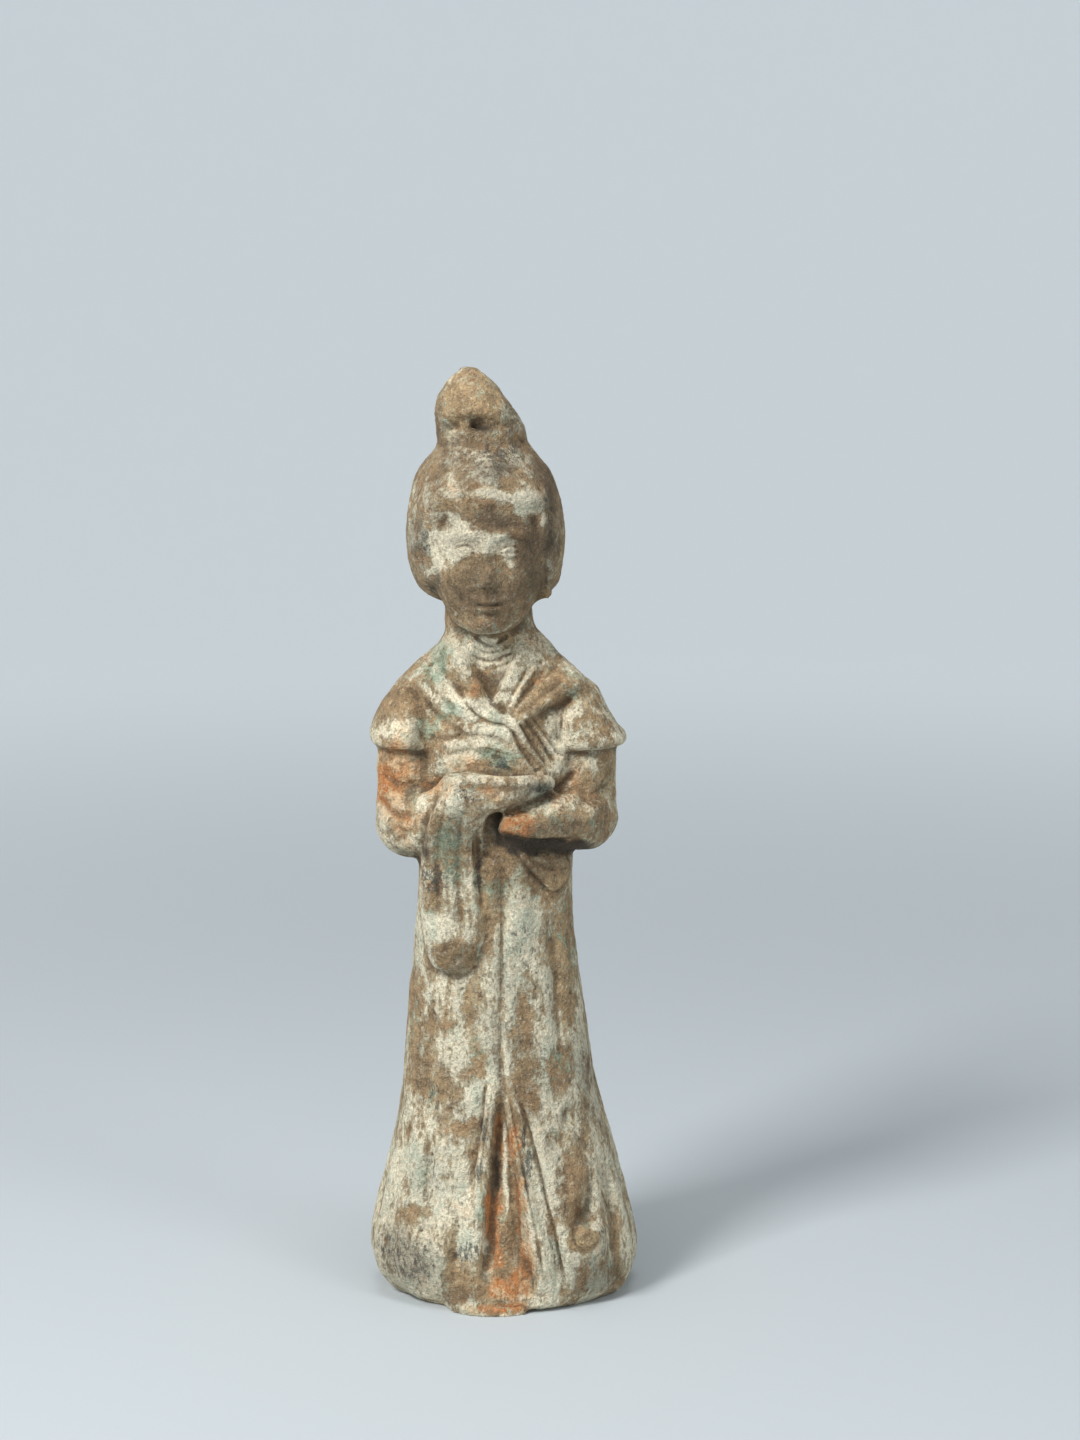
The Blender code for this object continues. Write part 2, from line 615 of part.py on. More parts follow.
def face_relief(places):
    """How far the features stand out from the egg of the face."""
    seen = places - np.array((FACE_MIDDLE, 0))
    rise = -grooves(seen, (BRIDGE,))
    for feature in MIDDLE_FEATURES:
        rise += swelling(seen, *feature)
    for side in (-1, 1):
        sided = seen * np.array((side, 1))
        rise += grooves(sided, (LIDS,)) - grooves(sided, (BROW,))
        for feature in PAIRED_FEATURES:
            rise += swelling(sided, *feature)
    return rise


def round_the_face(halves, count=11):
    """Points of an oval round the face, open at the chin."""
    middle = (CHIN + HAIRLINE) / 2
    points = []
    for turn in np.radians(np.linspace(HAIR_ENDS, 180 - HAIR_ENDS, count)):
        points.append((FACE_MIDDLE + halves[0] * math.cos(turn), middle + halves[1] * math.sin(turn)))
    return points


def hair_relief(places):
    """The roll of hair that frames the face, the topknot's crease and the pit in it."""
    roll = (ROLL_RISE, ROLL_WIDTH, round_the_face(ROLL_HALVES))
    crease = (HAIR_CREASE_DEPTH, HAIR_CREASE_WIDTH, round_the_face(OPENING_HALVES))
    rise = grooves(places, (crease,)) - grooves(places, (roll,))
    return rise + grooves(places, TOPKNOT_CREASES) + swelling(places, *TOPKNOT_PIT)


def front_relief(places):
    """The rise of all that is pressed into the front: shawl, jacket, skirt and hair."""
    rise = swelling(places, *KNOB)
    for area in (SHAWL_POINT, NECK_OPENING, SKIRT_SLIT):
        rise += patch(places, *area)
    for pressed in (NECK_CREASES, CHEST_GROOVES, SLEEVE_GROOVES, SHAWL_GROOVES):
        rise += grooves(places, pressed)
    for pressed in (SKIRT_GROOVES, PLEAT_GROOVES):
        rise += grooves(places, pressed)
    rise -= grooves(places, SKIRT_RIDGES)
    return rise + laps(places, LAPS) + hair_relief(places)


def back_relief(places):
    """The rise of the plainer folds on the back."""
    return grooves(places, BACK_GROOVES) + laps(places, BACK_LAPS)


def flutes(points):
    """Shallow flutes that the flare of the skirt falls into, away from the front."""
    turn = np.arctan2(points[:, 0], -points[:, 1])
    fall = ramp((FLUTE_TOP - points[:, 2]) / FLUTE_TOP)
    aside = ramp((np.abs(turn) - FLUTE_START) / (FLUTE_FULL - FLUTE_START))
    return FLUTE_DEPTH * fall * aside * np.cos(FLUTES * turn)


def unevenness(points):
    """The gentle lumps of a surface finished by hand."""
    coarse, fine = (np.array([noise.noise(Vector(p) * lumps) for p in points]) for lumps in LUMPS)
    return UNEVENNESS * (coarse + fine / 2)


def press_folds(clay):
    """Moves the skin's points in or out by the relief of the front and the back."""
    mesh = clay.data
    count = len(mesh.vertices)
    points = np.empty(count * 3)
    mesh.vertices.foreach_get("co", points)
    points = points.reshape(-1, 3) / HEIGHT
    normals = np.empty(count * 3)
    mesh.vertices.foreach_get("normal", normals)
    normals = normals.reshape(-1, 3)
    to_front = ramp(-normals[:, 1] / PRESS_LIMIT)
    to_back = ramp(normals[:, 1] / PRESS_LIMIT)
    places = points[:, (0, 2)]
    rise = to_front * front_relief(places) + to_back * back_relief(places)
    rise += flutes(points) + unevenness(points)
    moved = points + normals * rise[:, None]
    on_face = points[:, 1] < OPENING_FRONT + FACE_DEPTH
    moved[:, 1] -= to_front * on_face * face_relief(places)
    mesh.vertices.foreach_set("co", (moved * HEIGHT).ravel())
    mesh.update()
    worked(clay, "REMESH", mode="VOXEL", voxel_size=GRAIN * HEIGHT)
    worked(clay, "SMOOTH", factor=0.5, iterations=POLISH)


def cut_foot(clay):
    """Cuts the foot flat at the ground, and centres the hem on the origin."""
    working = bmesh.new()
    working.from_mesh(clay.data)
    everything = working.verts[:] + working.edges[:] + working.faces[:]
    cut = bmesh.ops.bisect_plane(
        working, geom=everything, dist=1e-7, plane_co=(0, 0, 0), plane_no=(0, 0, 1), clear_inner=True
    )
    rim = [edge for edge in cut["geom_cut"] if isinstance(edge, bmesh.types.BMEdge)]
    bmesh.ops.edgeloop_fill(working, edges=rim)
    across = [vert.co.x for vert in working.verts]
    deep = [vert.co.y for vert in working.verts]
    middle = Vector((min(across) + max(across), min(deep) + max(deep), 0)) / 2
    bmesh.ops.translate(working, vec=-middle, verts=working.verts)
    bmesh.ops.recalc_face_normals(working, faces=working.faces)
    working.to_mesh(clay.data)
    working.free()


def terracotta():
    """Brown fired clay."""
    material = bpy.data.materials.new("terracotta")
    material.use_nodes = True
    shader = material.node_tree.nodes["Principled BSDF"]
    shader.inputs["Base Color"].default_value = CLAY_COLOUR
    shader.inputs["Roughness"].default_value = 0.9
    shader.inputs["Metallic"].default_value = 0.0
    return material


def tomb_figure():
    """The whole figure: lumps fused, folds pressed, thinned to its triangles and cut flat."""
    lumps = [
        loft(BODY_SECTIONS, BODY_SQUARENESS),
        loft(SHOULDER_SECTIONS, SHOULDER_SQUARENESS),
        half_sleeve(-1, LEFT_HALF_SLEEVE),
        half_sleeve(1, RIGHT_HALF_SLEEVE),
        *arm(-1, LEFT_ELBOW, LEFT_FOREARM),
        *arm(1, RIGHT_ELBOW, RIGHT_FOREARM),
        limb(COVERED_HANDS),
        limb(PANEL_EDGE),
        loft(HANGING_SHAWL_SECTIONS, HANGING_SHAWL_SQUARENESS),
        ball(UNDERSKIRT_PLACE, UNDERSKIRT_HALVES),
        loft(FACE_SECTIONS, FACE_SQUARENESS),
        hair(),
        ball(HAIR_NUB, (HAIR_NUB_RADIUS,) * 3),
        loft(TOPKNOT_SECTIONS, TOPKNOT_SQUARENESS),
    ]
    clay = fused("tomb_figure", lumps)
    press_folds(clay)
    chip = placed("chip", ball(CHIP_PLACE, CHIP_HALVES))
    worked(clay, "BOOLEAN", object=chip, operation="DIFFERENCE", solver="EXACT")
    bpy.data.objects.remove(chip)
    faces = sum(len(face.vertices) - 2 for face in clay.data.polygons)
    worked(clay, "DECIMATE", ratio=TRIANGLES / faces)
    cut_foot(clay)
    clay.data.materials.clear()
    clay.data.materials.append(terracotta())
    clay.data.shade_smooth()
    return clay


def main():
    for obj in list(bpy.data.objects):
        bpy.data.objects.remove(obj)
    figure = tomb_figure()
    shelf = bpy.data.collections.new("Terracotta tomb figure")
    bpy.context.scene.collection.children.link(shelf)
    bpy.context.scene.collection.objects.unlink(figure)
    shelf.objects.link(figure)


main()
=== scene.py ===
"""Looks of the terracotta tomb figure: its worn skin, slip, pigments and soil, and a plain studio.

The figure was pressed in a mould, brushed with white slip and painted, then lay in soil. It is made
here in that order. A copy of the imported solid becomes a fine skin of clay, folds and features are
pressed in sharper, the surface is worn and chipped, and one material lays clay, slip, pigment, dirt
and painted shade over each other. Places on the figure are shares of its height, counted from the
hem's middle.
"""

import math

import bpy
import numpy as np
from bpy.props import FloatProperty, FloatVectorProperty, IntProperty, PointerProperty
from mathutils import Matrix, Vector, noise


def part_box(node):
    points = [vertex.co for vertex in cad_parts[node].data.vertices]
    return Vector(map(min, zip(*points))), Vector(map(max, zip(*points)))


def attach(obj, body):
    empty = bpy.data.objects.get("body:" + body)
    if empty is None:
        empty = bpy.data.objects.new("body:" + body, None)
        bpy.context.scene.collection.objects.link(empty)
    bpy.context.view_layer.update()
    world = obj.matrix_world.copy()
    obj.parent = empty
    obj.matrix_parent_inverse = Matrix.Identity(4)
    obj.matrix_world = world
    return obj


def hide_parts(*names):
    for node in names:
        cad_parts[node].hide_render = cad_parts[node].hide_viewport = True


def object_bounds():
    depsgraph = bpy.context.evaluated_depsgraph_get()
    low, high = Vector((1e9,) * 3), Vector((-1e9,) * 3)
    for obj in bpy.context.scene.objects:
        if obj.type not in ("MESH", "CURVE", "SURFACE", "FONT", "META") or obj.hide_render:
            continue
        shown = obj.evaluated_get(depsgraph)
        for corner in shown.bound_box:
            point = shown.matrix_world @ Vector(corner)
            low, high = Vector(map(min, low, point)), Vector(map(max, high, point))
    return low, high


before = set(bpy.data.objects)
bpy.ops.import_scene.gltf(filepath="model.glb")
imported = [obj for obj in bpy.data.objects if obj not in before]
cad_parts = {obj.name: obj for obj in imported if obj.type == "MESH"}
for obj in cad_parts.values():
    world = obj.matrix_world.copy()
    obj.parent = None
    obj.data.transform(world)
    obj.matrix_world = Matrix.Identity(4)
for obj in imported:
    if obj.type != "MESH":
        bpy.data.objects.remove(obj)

bl_info = {
    "name": "Terracotta Tomb Figure",
    "version": (1, 0, 0),
    "blender": (4, 5, 0),
    "location": "3D View > Sidebar > Tomb Figure",
    "description": "Models a painted terracotta tomb figure with its worn slip, and a plain studio",
    "category": "Object",
}

CAD_NODE = "tomb_figure"
CAD_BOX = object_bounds()
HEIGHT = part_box(CAD_NODE)[1].z
HEM_MIDDLE = np.array((0.0017, -0.0047, 0.0))  # of the places below, seen from the box's middle
EYE_SLOPE = 0.158  # how much lower a place looks for each step that it stands forward
CURVE_STEPS = 7  # straight steps of a smooth curve between two of its points

# Fine folds, pressed over those of the solid: rise (below zero for a groove), width, and the
# (across, height) points that each runs through, on the front
NECK_FOLDS = (
    (-0.0022, 0.0019, ((-0.031, 0.7185), (-0.010, 0.7090), (0.012, 0.7205))),
    (-0.0022, 0.0019, ((-0.033, 0.7095), (-0.010, 0.7005), (0.014, 0.7125))),
    (-0.0020, 0.0019, ((-0.035, 0.7005), (-0.010, 0.6925), (0.016, 0.7035))),
    (-0.0014, 0.0018, ((-0.030, 0.6920), (-0.010, 0.6850), (0.012, 0.6940))),
)
CHEST_FOLDS = (
    (-0.0032, 0.0026, ((0.005, 0.646), (0.019, 0.668), (0.031, 0.690))),
    (-0.0034, 0.0028, ((0.010, 0.641), (0.031, 0.665), (0.049, 0.687))),
    (-0.0032, 0.0028, ((0.015, 0.638), (0.041, 0.657), (0.066, 0.676))),
    (0.0020, 0.0024, ((0.009, 0.650), (0.025, 0.672), (0.040, 0.690))),
    (0.0016, 0.0024, ((0.014, 0.642), (0.038, 0.662), (0.060, 0.682))),
    (-0.0024, 0.0030, ((-0.064, 0.690), (-0.052, 0.672), (-0.036, 0.655))),
    (0.0022, 0.0026, ((-0.041, 0.661), (-0.015, 0.640), (0.012, 0.634), (0.028, 0.608), (0.047, 0.580))),
    (-0.0026, 0.0020, ((-0.041, 0.654), (-0.016, 0.633), (0.008, 0.627), (0.023, 0.603), (0.042, 0.575))),
    (-0.0028, 0.0018, ((0.017, 0.634), (0.035, 0.608), (0.052, 0.581))),
    (-0.0028, 0.0018, ((0.024, 0.636), (0.042, 0.611), (0.058, 0.586))),
    (-0.0024, 0.0018, ((0.031, 0.638), (0.049, 0.614), (0.064, 0.591))),
    (-0.0024, 0.0034, ((-0.090, 0.669), (-0.079, 0.652), (-0.062, 0.634), (-0.034, 0.618))),
    (-0.0019, 0.0032, ((-0.078, 0.678), (-0.066, 0.660), (-0.044, 0.641))),
    (-0.0020, 0.0030, ((-0.066, 0.611), (-0.030, 0.618), (0.010, 0.612))),
    (-0.0018, 0.0028, ((-0.060, 0.597), (-0.022, 0.602), (0.018, 0.596))),
    (-0.0018, 0.0026, ((-0.055, 0.583), (-0.018, 0.587), (0.024, 0.580))),
)
SLEEVE_FOLDS = (
    (-0.0020, 0.0034, ((-0.104, 0.668), (-0.088, 0.652), (-0.080, 0.625), (-0.079, 0.600))),
    (-0.0024, 0.0036, ((-0.130, 0.548), (-0.112, 0.530), (-0.092, 0.534))),
    (-0.0022, 0.0036, ((-0.127, 0.574), (-0.108, 0.562), (-0.086, 0.566))),
    (-0.0020, 0.0032, ((-0.112, 0.498), (-0.094, 0.516), (-0.080, 0.540))),
    (-0.0018, 0.0030, ((-0.124, 0.506), (-0.108, 0.518), (-0.096, 0.510))),
    (-0.0016, 0.0030, ((-0.118, 0.590), (-0.104, 0.582), (-0.090, 0.588))),
    (0.0016, 0.0030, ((-0.104, 0.500), (-0.088, 0.524), (-0.070, 0.552))),
    (-0.0016, 0.0034, ((0.118, 0.564), (0.098, 0.552), (0.080, 0.558))),
    (-0.0014, 0.0030, ((0.112, 0.538), (0.094, 0.524), (0.074, 0.526))),
    (-0.0022, 0.0024, ((0.084, 0.580), (0.064, 0.561), (0.043, 0.5525), (0.020, 0.543), (-0.006, 0.537))),
)
SHAWL_FOLDS = (
    (-0.0110, 0.0046, ((-0.004, 0.520), (0.012, 0.512), (0.036, 0.506), (0.066, 0.504), (0.090, 0.506))),
    (-0.0024, 0.0024, ((-0.024, 0.530), (-0.023, 0.476), (-0.019, 0.425))),
    (-0.0016, 0.0028, ((-0.058, 0.555), (-0.066, 0.490), (-0.064, 0.420))),
    (-0.0016, 0.0028, ((-0.040, 0.550), (-0.044, 0.480), (-0.042, 0.410))),
    (-0.0012, 0.0024, ((-0.050, 0.548), (-0.056, 0.480), (-0.054, 0.420))),
    (-0.0012, 0.0024, ((-0.032, 0.540), (-0.034, 0.470), (-0.032, 0.415))),
    (-0.0016, 0.0026, ((-0.045, 0.570), (-0.010, 0.567), (0.030, 0.567))),
    (-0.0038, 0.0024, ((0.012, 0.501), (0.024, 0.483), (0.037, 0.464), (0.055, 0.443))),
    (-0.0038, 0.0024, ((0.053, 0.443), (0.066, 0.451), (0.075, 0.464), (0.080, 0.490))),
    (-0.0020, 0.0022, ((0.026, 0.496), (0.042, 0.477), (0.060, 0.470))),
)
SKIRT_FOLDS = (
    (-0.0012, 0.0018, ((-0.001, 0.500), (0.001, 0.430), (0.000, 0.330), (-0.001, 0.225))),
    (-0.0012, 0.0026, ((0.056, 0.440), (0.060, 0.330), (0.066, 0.260))),
    (-0.0028, 0.0020, ((-0.015, 0.250), (-0.024, 0.190), (-0.034, 0.130))),
    (-0.0012, 0.0018, ((-0.009, 0.240), (-0.018, 0.180), (-0.024, 0.130))),
    (-0.0042, 0.0022, ((0.017, 0.236), (0.030, 0.194), (0.045, 0.133), (0.057, 0.084), (0.070, 0.020))),
    (-0.0030, 0.0020, ((0.006, 0.246), (0.017, 0.190), (0.028, 0.133), (0.038, 0.084), (0.048, 0.020))),
    (0.0016, 0.0024, ((0.012, 0.240), (0.024, 0.190), (0.037, 0.133), (0.048, 0.084), (0.058, 0.030))),
    (-0.0018, 0.0030, ((-0.078, 0.185), (-0.081, 0.145), (-0.083, 0.112))),
    (-0.0012, 0.0030, ((-0.072, 0.345), (-0.078, 0.270), (-0.086, 0.210))),
    (-0.0014, 0.0030, ((0.110, 0.150), (0.120, 0.095), (0.124, 0.045))),
    (-0.0012, 0.0026, ((-0.046, 0.115), (-0.050, 0.070), (-0.052, 0.025))),
    (0.0018, 0.0024, ((0.002, 0.210), (0.006, 0.140), (0.008, 0.060))),
    (-0.0018, 0.0020, ((0.013, 0.170), (0.018, 0.110), (0.022, 0.060))),
    (0.0026, 0.0020, ((0.0945, 0.0950), (0.1010, 0.0905), (0.1065, 0.0830))),
)

# Sheets that the skin is drawn forward to where it lies behind them: how far in front the sheet
# is, how that changes across and upwards, and where it is with its halves
FILLED = (
    (-0.1105, 0.12, 0.35, 0.010, 0.012, 0.050, 0.040),  # the underskirt, out to the hem
    (-0.0590, -0.92, 0.0, -0.074, 0.812, 0.0105, 0.062),  # hair beside the face
    (-0.0590, 1.00, 0.0, 0.050, 0.812, 0.0105, 0.062),
    (-0.0785, 0.0, 0.0, -0.012, 0.868, 0.058, 0.014),  # hairline, and its two corners
    (-0.0740, -0.30, 0.0, -0.056, 0.861, 0.013, 0.013),
    (-0.0710, 0.40, 0.0, 0.030, 0.860, 0.013, 0.013),
    (-0.0670, 0.50, 0.4, 0.073, 0.190, 0.012, 0.032),  # the side pleat's upper and lower stretch
    (-0.0860, 0.40, 0.4, 0.081, 0.135, 0.010, 0.030),
    (-0.1095, 0.0, 0.0, 0.0915, 0.083, 0.0100, 0.0100),  # a knob by the hem
)
# Sheets that the skin is cut back to where it stands in front of them
CUT = ((-0.1040, 0.30, -0.10, 0.0885, 0.082, 0.0120, 0.0130),)  # the knob's broken face
# Soft bumps and dents, as a rise, a place and its halves
BUMPS = (
    (-0.0130, -0.025, 0.9415, 0.0060, 0.0036),
    (-0.0030, -0.044, 0.9380, 0.0080, 0.0030),
    (0.0050, 0.0610, 0.6200, 0.0090, 0.0240),
    (0.0024, 0.0560, 0.4680, 0.0200, 0.0200),
)

# The face, on the usual thirds from the hairline to the chin
CHIN = 0.724
HAIRLINE = 0.877
FACE_MIDDLE = -0.0125  # across
FACE_BACK = -0.020  # features are pressed on the skin in front of this
THIRD = (HAIRLINE - CHIN) / 3
BROW_LINE = HAIRLINE - THIRD
NOSE_LINE = CHIN + THIRD
MOUTH_LINE = CHIN + 0.66 * THIRD
EYE_LINE = BROW_LINE - 0.26 * THIRD
EYE = 0.0235  # of each eye's middle from the face's
FACE_CENTRE = (FACE_MIDDLE, 0.787)  # as seen, with the half axes of the oval that holds the features
FACE_HALVES = (0.056, 0.068)
# Bumps as a rise, a place and its halves, and lines as fine folds; the paired ones are on both sides
MIDDLE_FEATURES = (
    (0.0014, 0, NOSE_LINE + 0.0062, 0.0062, 0.0066),
    (0.0022, 0, MOUTH_LINE + 0.0034, 0.0105, 0.0030),
    (0.0026, 0, MOUTH_LINE - 0.0042, 0.0088, 0.0032),
    (-0.0018, 0, MOUTH_LINE - 0.0104, 0.0090, 0.0030),
    (0.0016, 0, CHIN + 0.0110, 0.0120, 0.0090),
)
PAIRED_FEATURES = (
    (0.0018, 0.0072, NOSE_LINE + 0.0042, 0.0036, 0.0040),
    (-0.0022, 0.0036, NOSE_LINE + 0.0002, 0.0022, 0.0016),
    (-0.0014, 0.0148, MOUTH_LINE - 0.0002, 0.0028, 0.0026),
    (-0.0010, 0.0100, EYE_LINE + 0.0010, 0.0060, 0.0080),
    (-0.0008, EYE, EYE_LINE + 0.0090, 0.0180, 0.0050),
    (0.0030, EYE, EYE_LINE, 0.0115, 0.0056),
    (0.0014, 0.0300, NOSE_LINE + 0.0060, 0.0150, 0.0140),
)
MIDDLE_LINES = (
    (-0.0030, 0.0018, ((-0.0140, MOUTH_LINE), (0, MOUTH_LINE - 0.0010), (0.0140, MOUTH_LINE))),
    (-0.0012, 0.0018, ((0, NOSE_LINE - 0.0020), (0, (NOSE_LINE + MOUTH_LINE) / 2), (0, MOUTH_LINE + 0.0050))),
    (0.0006, 0.0050, ((0, BROW_LINE + 0.0040), (0, EYE_LINE), (0, NOSE_LINE + 0.0060))),
)
PAIRED_LINES = (
    (-0.0026, 0.0018, ((0.0115, EYE_LINE - 0.0012), (EYE, EYE_LINE - 0.0014), (0.0365, EYE_LINE - 0.0004))),
    (-0.0018, 0.0019, ((0.0110, EYE_LINE + 0.0006), (EYE, EYE_LINE + 0.0058), (0.0370, EYE_LINE + 0.0016))),
    (-0.0014, 0.0020, ((0.0130, EYE_LINE - 0.0046), (EYE, EYE_LINE - 0.0072), (0.0350, EYE_LINE - 0.0040))),
    (0.0009, 0.0034, ((0.0080, BROW_LINE - 0.0010), (EYE, BROW_LINE + 0.0058), (0.0410, BROW_LINE - 0.0010))),
)

# The skin and its wear
MIDWAY = 0.5  # an even share, and the middle of what runs from 0 to 1
MERGE = 1e-6  # metres between points that are one
ROUNDING = 2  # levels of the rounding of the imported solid
FOOT_EDGE = 0.0016  # the skin up to this height stays as it is, so that the foot is flat
SHEET_LIFT = 0.006  # height over which a sheet takes hold above the ground
SHEET_REACH = 0.036  # a sheet leaves the skin that is farther from it than this
SHEET_FADE = 0.022  # and its hold fades over this
DETAIL_REACH = 0.0036  # the skin is made finer as far as this from a fine fold
PRESS_LIMIT = 0.25  # how far a surface turns from facing sideways before a fold is at full depth
FRONT_FACING = 0.5  # share of a fold's depth from which the skin is made finer
FOLD_REACH = 3  # a fold is worked out as far as this many of its widths
FADE = 0.16  # share of a fold's length over which each of its ends fades out
FOLD_WOBBLE = 0.0008  # how far a fold strays from its curve
FOLD_WORN = 0.35  # share of a fold's depth that is lost where it is worn most
WORN_SPREAD = 1.5  # how sharply the worn stretches of folds begin
GROOVE_DEPTH = 0.0024  # of a fold that holds as much dirt and painted shade as any
HOLLOW_PASSES = (6, 60)  # passes of smoothing that show fine and broad hollows
HOLLOW_DEPTHS = (0.0016, 0.0070)  # below the smoothed skin that count as a full hollow in each
PIT_SHARE = 0.52  # noise above this makes a pit
PIT_EDGE = 0.16  # and this much more makes it as deep as any
FACE_KEPT = 0.75  # share of the wear that the face is spared
ROUGH_TOPKNOT = (0.930, 0.02)  # where the rougher top begins, and over what height
TOPKNOT_GRIT = 1.5  # how much more grit there is on it
# Noise that shapes the skin: lumps over the figure's height, seed and octaves
CLOUDS = {
    "fold across": (30, 1.7, 1),
    "fold up": (30, 4.1, 1),
    "worn folds": (22, 6.1, 1),
    "wear": (26, 7.3, 3),
    "grit": (190, 2.9, 2),
    "pits": (85, 5.7, 1),
    "dab across": (34, 3.3, 3),
    "dab up": (34, 8.9, 3),
}

# The paint's places. Parts of the figure begin at a height and take hold over another, downwards
# where that is below zero
SKIRT = (0.47, -0.08)
HEAD = (0.72, 0.02)
HAIR = (0.80, 0.02)
TOPKNOT = (0.935, 0.012)
# Cover of each layer before its dabs, on each of these parts
BASE_COVER = {
    "slip": {"dress": 0.42, "skirt": 0.09, "head": 0.16, "topknot": -0.05},
    "orange": {"bodice": 0.12},
    "green": {"dress": 0.16},
    "soil": {"all": 0.16, "skirt": 0.10, "hair": 0.10},
    "soot": {"hair": 0.22},
    "streak": {"skirt": 1},
}
DAB_UNIT = 0.001  # share of the height in which the dabs are given
DAB_REACH = 1.6  # a dab ends at this many of its halves
DAB_EDGE = 1.3  # and its cover fades over this many of them
DAB_WOBBLE = 0.007  # how far a dab's edge strays

# Dabs of each layer on the front, as the viewer sees them: how much more or less of it there is,
# then the dab's place across and up and its halves, in thousandths of the height
SLIP_DABS = (
    # head
    (-0.20, -27, 965, 36, 30), (0.30, -49, 919, 9, 5), (0.27, -15, 896, 40, 20), (0.35, -50, 876, 6, 6),
    (0.15, -92, 862, 11, 22), (0.50, -43, 859, 15, 6), (0.85, -1, 859, 18, 5), (0.85, 29, 850, 16, 8),
    (-0.90, -4, 834, 26, 11), (0.75, 43, 828, 6, 14), (0.75, -48, 819, 18, 22), (0.80, -10, 807, 23, 16),
    (0.30, -82, 806, 10, 30), (0.55, -52, 801, 13, 19), (0.60, -67, 797, 7, 37), (-0.85, 35, 797, 16, 35),
    (0.55, 51, 797, 4, 28), (0.40, 13, 795, 9, 15), (0.55, 12, 790, 10, 15), (-0.40, -18, 781, 9, 17),
    (-0.95, -12, 760, 47, 30), (0.45, -58, 758, 7, 14),
    # neck and chest
    (0.45, -18, 697, 22, 12), (0.50, -17, 694, 21, 13), (0.55, 5, 676, 9, 13), (0.40, 9, 672, 12, 14),
    (-0.20, -97, 667, 17, 17), (-0.40, 66, 662, 35, 12), (0.55, -61, 657, 11, 9),
    (-0.50, -22, 657, 11, 15), (-0.55, 52, 653, 26, 15), (-0.35, -14, 649, 16, 10),
    (0.35, 17, 645, 10, 10), (-0.35, -110, 643, 18, 10), (0.55, -30, 641, 30, 14),
    (0.22, -15, 615, 40, 20), (0.45, -25, 641, 17, 6), (-0.26, -110, 633, 21, 22),
    (0.30, 70, 633, 27, 14), (-0.26, 82, 633, 23, 24), (0.25, -118, 616, 16, 8), (0.40, 12, 616, 9, 13),
    (-0.10, 42, 600, 17, 22), (0.30, 60, 612, 16, 24),
    # arms and hands
    (-0.20, -65, 597, 15, 15), (0.25, -47, 589, 22, 14), (-0.12, 35, 587, 12, 31),
    (0.30, -109, 581, 15, 9), (0.30, 76, 568, 13, 17), (-0.30, -121, 562, 15, 13),
    (-0.25, 108, 549, 13, 50), (0.25, -118, 531, 13, 13), (0.35, -86, 531, 6, 15),
    (-0.45, 63, 508, 47, 18), (-0.35, -59, 495, 21, 28),
    # shawl's end and waist
    # The strong first dab takes the slip off the forearm's underside as part of the shadow painted there.
    (-1.20, 40, 484, 42, 9), (-0.50, 8, 512, 16, 10), (-0.85, 47, 464, 23, 15), (-0.55, -1, 462, 13, 24),
    (-0.45, 47, 461, 22, 19), (-0.70, 55, 443, 11, 11), (0.35, -34, 442, 12, 19),
    (-0.35, -73, 438, 8, 21), (-0.30, -10, 438, 10, 27), (0.40, -59, 407, 19, 17),
    (0.25, 23, 405, 22, 48), (-0.50, 74, 405, 8, 27), (-0.60, 74, 397, 11, 28), (-0.30, -45, 376, 22, 12),
    (-0.45, 60, 372, 11, 19), (-0.30, -50, 367, 26, 15),
    # skirt
    (-0.35, -106, 333, 11, 26), (-0.55, 69, 333, 11, 37), (0.25, -59, 332, 22, 23),
    (-0.45, 66, 330, 9, 27), (-0.45, -30, 322, 8, 25), (-0.45, -92, 301, 8, 50), (-0.15, 18, 298, 15, 26),
    (-0.40, -65, 296, 17, 8), (-0.45, -125, 268, 11, 65), (-0.50, -25, 257, 10, 37),
    (0.25, -47, 255, 20, 19), (-0.45, 31, 249, 12, 10), (-0.35, 59, 246, 13, 22),
    (-0.30, -65, 225, 19, 11), (0.30, -28, 218, 15, 17), (-0.35, -112, 216, 6, 54),
    (-0.55, -36, 184, 18, 8), (-0.45, 56, 172, 9, 11), (0.35, 50, 139, 10, 52), (0.70, 5, 138, 3, 48),
    (0.25, -90, 135, 14, 31), (-0.45, -55, 130, 8, 8),
    # hem
    (0.30, -53, 119, 18, 31), (-0.40, 82, 117, 6, 37), (-0.35, 78, 116, 6, 43), (-0.50, 5, 102, 18, 87),
    (-0.45, -92, 90, 12, 7), (0.35, 37, 87, 8, 37), (1.50, 103, 78, 6, 4), (-0.90, 90, 68, 13, 13),
    (-0.60, 91, 66, 12, 12), (0.55, -37, 56, 13, 11), (0.35, 12, 43, 7, 11), (0.50, 80, 43, 11, 9),
    (0.10, -108, 39, 26, 19), (-0.40, -47, 30, 14, 12), (-0.30, 113, 27, 25, 19),
    (-0.38, -42, 13, 23, 15), (-0.50, -3, -12, 34, 7),
)
